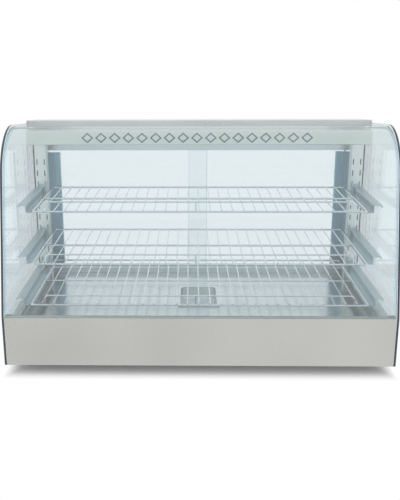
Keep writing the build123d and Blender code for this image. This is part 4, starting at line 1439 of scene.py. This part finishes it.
@dataclass
class RearControls:
    """The rear control panel with the knob, switches, indicator, gland and screws."""

    knob_flutes: int = 24
    grip_share: float = 0.79
    knob_sides: int = 96
    screw_sides: int = 32
    dial_radius: float = 27.5 * MM
    dial_sweep: float = math.radians(270)
    dial_numbers: tuple[int, ...] = (30, 50, 70, 90, 110)
    number_size: float = 4.6 * MM
    number_gap: float = 1.9 * MM
    dial_thickness: float = 0.7 * MM
    print_depth: float = 0.15 * MM
    print_height: float = 0.72 * MM
    recess: tuple[float, float] = (4.0 * MM, 0.75 * MM)

    def knob(self, trees: Trees) -> None:
        """The thermostat knob: a skirt, a fluted grip, a white pointer and the spindle."""
        low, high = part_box("thermostat_knob")
        centre = (low + high) / 2
        skirt = (high.x - low.x) / 2
        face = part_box("rear_control_panel")[1].y
        foot, reach = low.y - face, high.y - face
        grip = self.grip_share * skirt
        body = turned(
            "knob_body",
            [
                (0.0, foot), (3.0 * MM, foot), (3.0 * MM, 1.0 * MM),
                (skirt - 0.6 * MM, 1.0 * MM), (skirt, 1.6 * MM), (skirt, 4.2 * MM),
                (skirt - 1.0 * MM, 5.0 * MM), (grip + 0.8 * MM, 5.6 * MM), (grip, 6.6 * MM),
                (grip - 0.9 * MM, reach - 1.8 * MM), (grip - 2.4 * MM, reach - 0.3 * MM),
                (grip - 4.4 * MM, reach), (grip - 6.0 * MM, reach - 0.5 * MM), (0.0, reach - 0.5 * MM),
            ],
            self.knob_sides,
        )
        flute = rounded_block(
            (1.6 * MM, 3.0 * MM, reach - 9.0 * MM), (grip - 0.5 * MM, 0.0, reach / 2 + 2.2 * MM),
            0.7 * MM, 3,
        )
        step = 2 * math.pi / self.knob_flutes
        flutes = trees.around("knob_flutes", BLACK_PLASTIC, self.knob_flutes, step, flute)
        pointer = rounded_block(
            (1.3 * MM, 11.0 * MM, 0.5 * MM), (0.0, grip - 6.5 * MM, reach - 0.35 * MM), 0.2 * MM
        )
        pointer.transform(Matrix.Rotation(self.dial_sweep / 2, 4, "Z"))
        core = add_object("knob_core", dressed(body, BLACK_PLASTIC))
        mark = add_object("knob_pointer", dressed(pointer, PRINT_WHITE))
        knob = join_into("thermostat_knob_piece", [core, flutes, mark])
        seat = Matrix.Translation((centre.x, face, centre.z)) @ FACING_REAR
        knob.data.transform(seat)
        place(knob, "thermostat_knob", "black_plastic", ("thermostat_knob",))
        self.dial(trees, seat)

    def dial(self, trees: Trees, seat: Matrix) -> None:
        """The printed scale round the knob, with plain numbers.

        Args:
            trees: The Geometry Nodes trees.
            seat: Where the knob's axis meets the panel, facing the rear.
        """
        plate = turned(
            "dial_plate",
            [
                (0.0, 0.05 * MM), (self.dial_radius + 8.5 * MM, 0.05 * MM),
                (self.dial_radius + 8.8 * MM, 0.4 * MM),
                (self.dial_radius + 8.2 * MM, self.dial_thickness), (0.0, self.dial_thickness),
            ],
            self.knob_sides,
        )
        tick = rounded_block(
            (0.5 * MM, 2.4 * MM, self.print_depth),
            (0.0, self.dial_radius - 3.6 * MM, self.print_height), 0.05 * MM, 1,
        )
        gaps = len(self.dial_numbers) - 1
        steps = 4 * gaps
        ticks = trees.around(
            "dial_ticks", PRINT_WHITE, steps + 1, self.dial_sweep / steps, tick, -self.dial_sweep / 2
        )
        pieces = [add_object("dial_base", dressed(plate, BLACK_PLASTIC)), ticks]
        reach = self.dial_radius + self.number_gap
        for i, number in enumerate(self.dial_numbers):
            turn = self.dial_sweep * (0.5 - i / gaps)
            pieces.append(self.printed(str(number), -math.sin(turn) * reach, math.cos(turn) * reach))
        dial = join_into("thermostat_dial", pieces)
        dial.data.transform(seat)
        place(dial, "case", "black_plastic")

    def printed(self, text: str, x: float, y: float) -> Object:
        """Printed characters, as a thin mesh that faces +Z.

        Args:
            text: The characters.
            x: Where their middle is, across.
            y: Where their middle is, upwards.

        Returns:
            The mesh object, at the origin.
        """
        curve = bpy.data.curves.new(f"dial_{text}", "FONT")
        curve.body = text
        curve.size = self.number_size
        curve.extrude = self.print_depth / 2
        curve.align_x = "CENTER"
        curve.align_y = "CENTER"
        curve.resolution_u = 3
        holder = add_object(f"dial_{text}_text", curve)
        mesh = evaluated_mesh(holder)
        bpy.data.objects.remove(holder)
        mesh.materials.clear()
        mesh.transform(Matrix.Translation((x, y, self.print_height)))
        return add_object(f"dial_{text}", dressed(mesh, PRINT_WHITE))

    def switches(self) -> None:
        """The two rocker switches: a body with a bezel, and a rocker in it."""
        for name, tone, slot in (
            ("power", RED_PLASTIC, "red_plastic"), ("lamp", BLACK_PLASTIC, "black_plastic")
        ):
            refine(f"{name}_switch_body", BLACK_PLASTIC, "black_plastic", bevel=0.5 * MM)
            refine(f"{name}_switch_rocker", tone, slot, f"{name}_rocker", bevel=0.5 * MM)

    @staticmethod
    def screw_places() -> list[Point]:
        """Where the axis of each CAD screw crosses the plane of the roof's rear."""
        bm = node_bmesh("panel_screws")
        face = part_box("roof_panel")[1].y
        places = []
        left = set(bm.verts)
        while left:
            island, queue = [], [left.pop()]
            while queue:
                vert = queue.pop()
                island.append(vert.co.copy())
                found = {edge.other_vert(vert) for edge in vert.link_edges} & left
                left -= found
                queue.extend(found)
            xs, zs = [co.x for co in island], [co.z for co in island]
            places.append(((min(xs) + max(xs)) / 2, face, (min(zs) + max(zs)) / 2))
        bm.free()
        return places

    def screws(self, trees: Trees) -> None:
        """Pan-head screws with a cross recess, at the places of the CAD screws."""
        head = turned(
            "screw_head",
            [
                (0.0, -7.5 * MM), (1.7 * MM, -7.5 * MM), (1.9 * MM, -7.0 * MM), (1.9 * MM, 0.05 * MM),
                (3.9 * MM, 0.05 * MM), (4.0 * MM, 0.3 * MM), (3.7 * MM, 1.2 * MM),
                (2.9 * MM, 1.9 * MM), (1.6 * MM, 2.25 * MM), (0.0, 2.3 * MM),
            ],
            self.screw_sides,
        )
        pieces = [add_object("head", dressed(head, SCREW_METAL))]
        arm_length, arm_width = self.recess
        for width, depth in ((arm_length, arm_width), (arm_width, arm_length)):
            arm = rounded_block((width, depth, 0.4 * MM), (0, 0, 2.2 * MM), 0.15 * MM, 1)
            pieces.append(add_object("arm", dressed(arm, BLACK_PLASTIC)))
        shape = join_into("screw_shape", pieces)
        shape.data.transform(FACING_REAR)
        points = bpy.data.meshes.new("screw_places")
        points.from_pydata(self.screw_places(), [], [])
        screws = trees.scatter.make("panel_screws_piece", SCREW_METAL, {"Shape": shape}, points)
        bpy.data.objects.remove(shape)
        smooth_by_angle(screws.data)
        place(screws, "case", "screw_steel", ("panel_screws",))

    def build(self, trees: Trees) -> None:
        """Makes the controls."""
        refine("rear_control_panel", SHEET_ACROSS, "brushed_steel", bevel=0.25 * MM)
        self.knob(trees)
        self.switches()
        self.screws(trees)
        refine("indicator_lamp", AMBER_LENS, "amber_plastic", bevel=0.3 * MM)
        refine("cable_gland", BLACK_PLASTIC, "black_plastic", bevel=0.4 * MM)


class HeatingGear:
    """What is closed up in the base: elements, thermostat, its bulb and the terminal block."""

    def build(self) -> None:
        """Makes the hidden gear."""
        for side in Side:
            refine(f"{side}_heating_element", HEATER_METAL, "heater_sheath", bevel=0.0)
        refine("thermostat_body", BLACK_PLASTIC, "black_plastic", bevel=0.5 * MM)
        refine("thermostat_bulb", COPPER, "copper", bevel=0.0)
        refine("terminal_block", WHITE_PLASTIC, "white_plastic", bevel=0.4 * MM)


@dataclass
class Studio:
    """The camera, the lamps, the white surround and the pale floor."""

    eye: Point = (-0.0232, -1.849, 0.7609)
    pitch: float = 16.01
    yaw: float = 1.169
    roll: float = -0.235
    focal_length: float = 54.0
    sensor: float = 36.0
    shift: float = 0.0508
    floor_half: float = 6.0
    floor_colour: Colour = (0.855, 0.87, 0.865)
    shadow_reach: tuple[float, float] = (0.047, 0.074)
    shadow_inset: tuple[float, float] = (0.041, 0.0575)
    shadow_lift: float = 0.07
    shadow_fade: float = 2.6
    surround: float = 0.62
    lamps: tuple[tuple[str, Point, float, float], ...] = (
        ("lamp_overhead", (-0.4, -0.6, 2.6), 3.3, 34.0),
        ("lamp_front_left", (-1.8, -2.4, 1.6), 2.25, 16.0),
    )

    def camera(self) -> None:
        """The photograph's viewing angle."""
        data = bpy.data.cameras.new("camera")
        data.lens = self.focal_length
        data.sensor_width = self.sensor
        data.shift_x = self.shift
        data.clip_start = 0.05
        camera = add_object("camera", data)
        turn = Matrix.Rotation(math.radians(self.yaw), 4, "Z")
        tilt = Matrix.Rotation(math.radians(90 - self.pitch), 4, "X")
        roll = Matrix.Rotation(math.radians(self.roll), 4, "Z")
        camera.matrix_world = Matrix.Translation(self.eye) @ turn @ tilt @ roll
        bpy.context.scene.camera = camera

    @staticmethod
    def shown_white(graph: MaterialGraph) -> Socket:
        """1 for the rays that show the background, straight or in metal and glass, and 0 for others."""
        path = graph.node("LightPath").outputs
        straight, mirrored = graph.number(path["Is Camera Ray"]), graph.number(path["Is Glossy Ray"])
        return straight.larger(mirrored).larger(graph.number(path["Is Transmission Ray"]))

    def world(self) -> None:
        """A white surround, which lights the object less than it shows."""
        world = bpy.data.worlds.new("surround")
        world.use_nodes = True
        bpy.context.scene.world = world
        graph = MaterialGraph(world.node_tree)
        strength = self.surround + self.shown_white(graph) * (1.0 - self.surround)
        inputs = {"Color": WHITE, "Strength": strength}
        graph.surface(graph.node("Background", inputs=inputs).outputs[0], "OutputWorld")

    def floor(self) -> None:
        """A pale floor, which keeps the shadow round the case and is plain white further out."""
        half = self.floor_half
        mesh = bpy.data.meshes.new("floor")
        mesh.from_pydata(
            [(-half, -half, 0), (half, -half, 0), (half, half, 0), (-half, half, 0)],
            [], [(0, 1, 2, 3)],
        )
        material = bpy.data.materials.new("floor_pale")
        material.use_nodes = True
        graph = MaterialGraph(material.node_tree)
        low, high = CAD_BOX
        place = graph.node("TexCoord").outputs["Object"]
        split = graph.node("SeparateXYZ", inputs={0: place})
        beyond = [
            (
                abs(graph.number(split.outputs[axis]) - (low[axis] + high[axis]) / 2)
                - (high[axis] - low[axis]) / 2 + self.shadow_inset[axis]
            ) / self.shadow_reach[axis]
            for axis in (0, 1)
        ]
        far = beyond[0].larger(beyond[1]).clamped() ** self.shadow_fade
        share = (far * (1.0 - self.shadow_lift) + self.shadow_lift) * self.shown_white(graph)
        lit = graph.node("BsdfDiffuse", inputs={"Color": self.floor_colour}).outputs[0]
        white = graph.node("Emission", inputs={"Color": WHITE}).outputs[0]
        graph.surface(graph.node("MixShader", inputs={0: share, 1: lit, 2: white}).outputs[0])
        mesh.materials.append(material)
        add_object("floor", mesh)

    def lights(self) -> None:
        """Large soft lamps, which look at the middle of the case and don't show in glass or metal."""
        target = (CAD_BOX[0] + CAD_BOX[1]) / 2
        for name, where, size, watts in self.lamps:
            data = bpy.data.lights.new(name, "AREA")
            data.size = size
            data.energy = watts
            lamp = add_object(name, data)
            lamp.visible_glossy = False
            lamp.location = where
            lamp.rotation_euler = (target - Vector(where)).to_track_quat("-Z", "Y").to_euler()

    def build(self) -> None:
        """Sets up the studio."""
        scene = bpy.context.scene
        scene.view_settings.view_transform = "Standard"
        scene.cycles.transparent_max_bounces = 32
        self.camera()
        self.world()
        self.floor()
        self.lights()


def main() -> None:
    """Builds the studio and then the case, part by part."""
    logging.basicConfig(level=logging.INFO, format="%(name)s: %(message)s")
    Studio().build()
    trees = Trees()
    Base().build(trees)
    GlassHouse().build()
    RoofAndLamp().build(trees)
    ShelfSupport().build()
    for tier in Tier:
        WireShelf(tier).build(trees)
    SlidingDoors().build()
    RearControls().build(trees)
    HeatingGear().build()


if __name__ == "__main__":
    main()
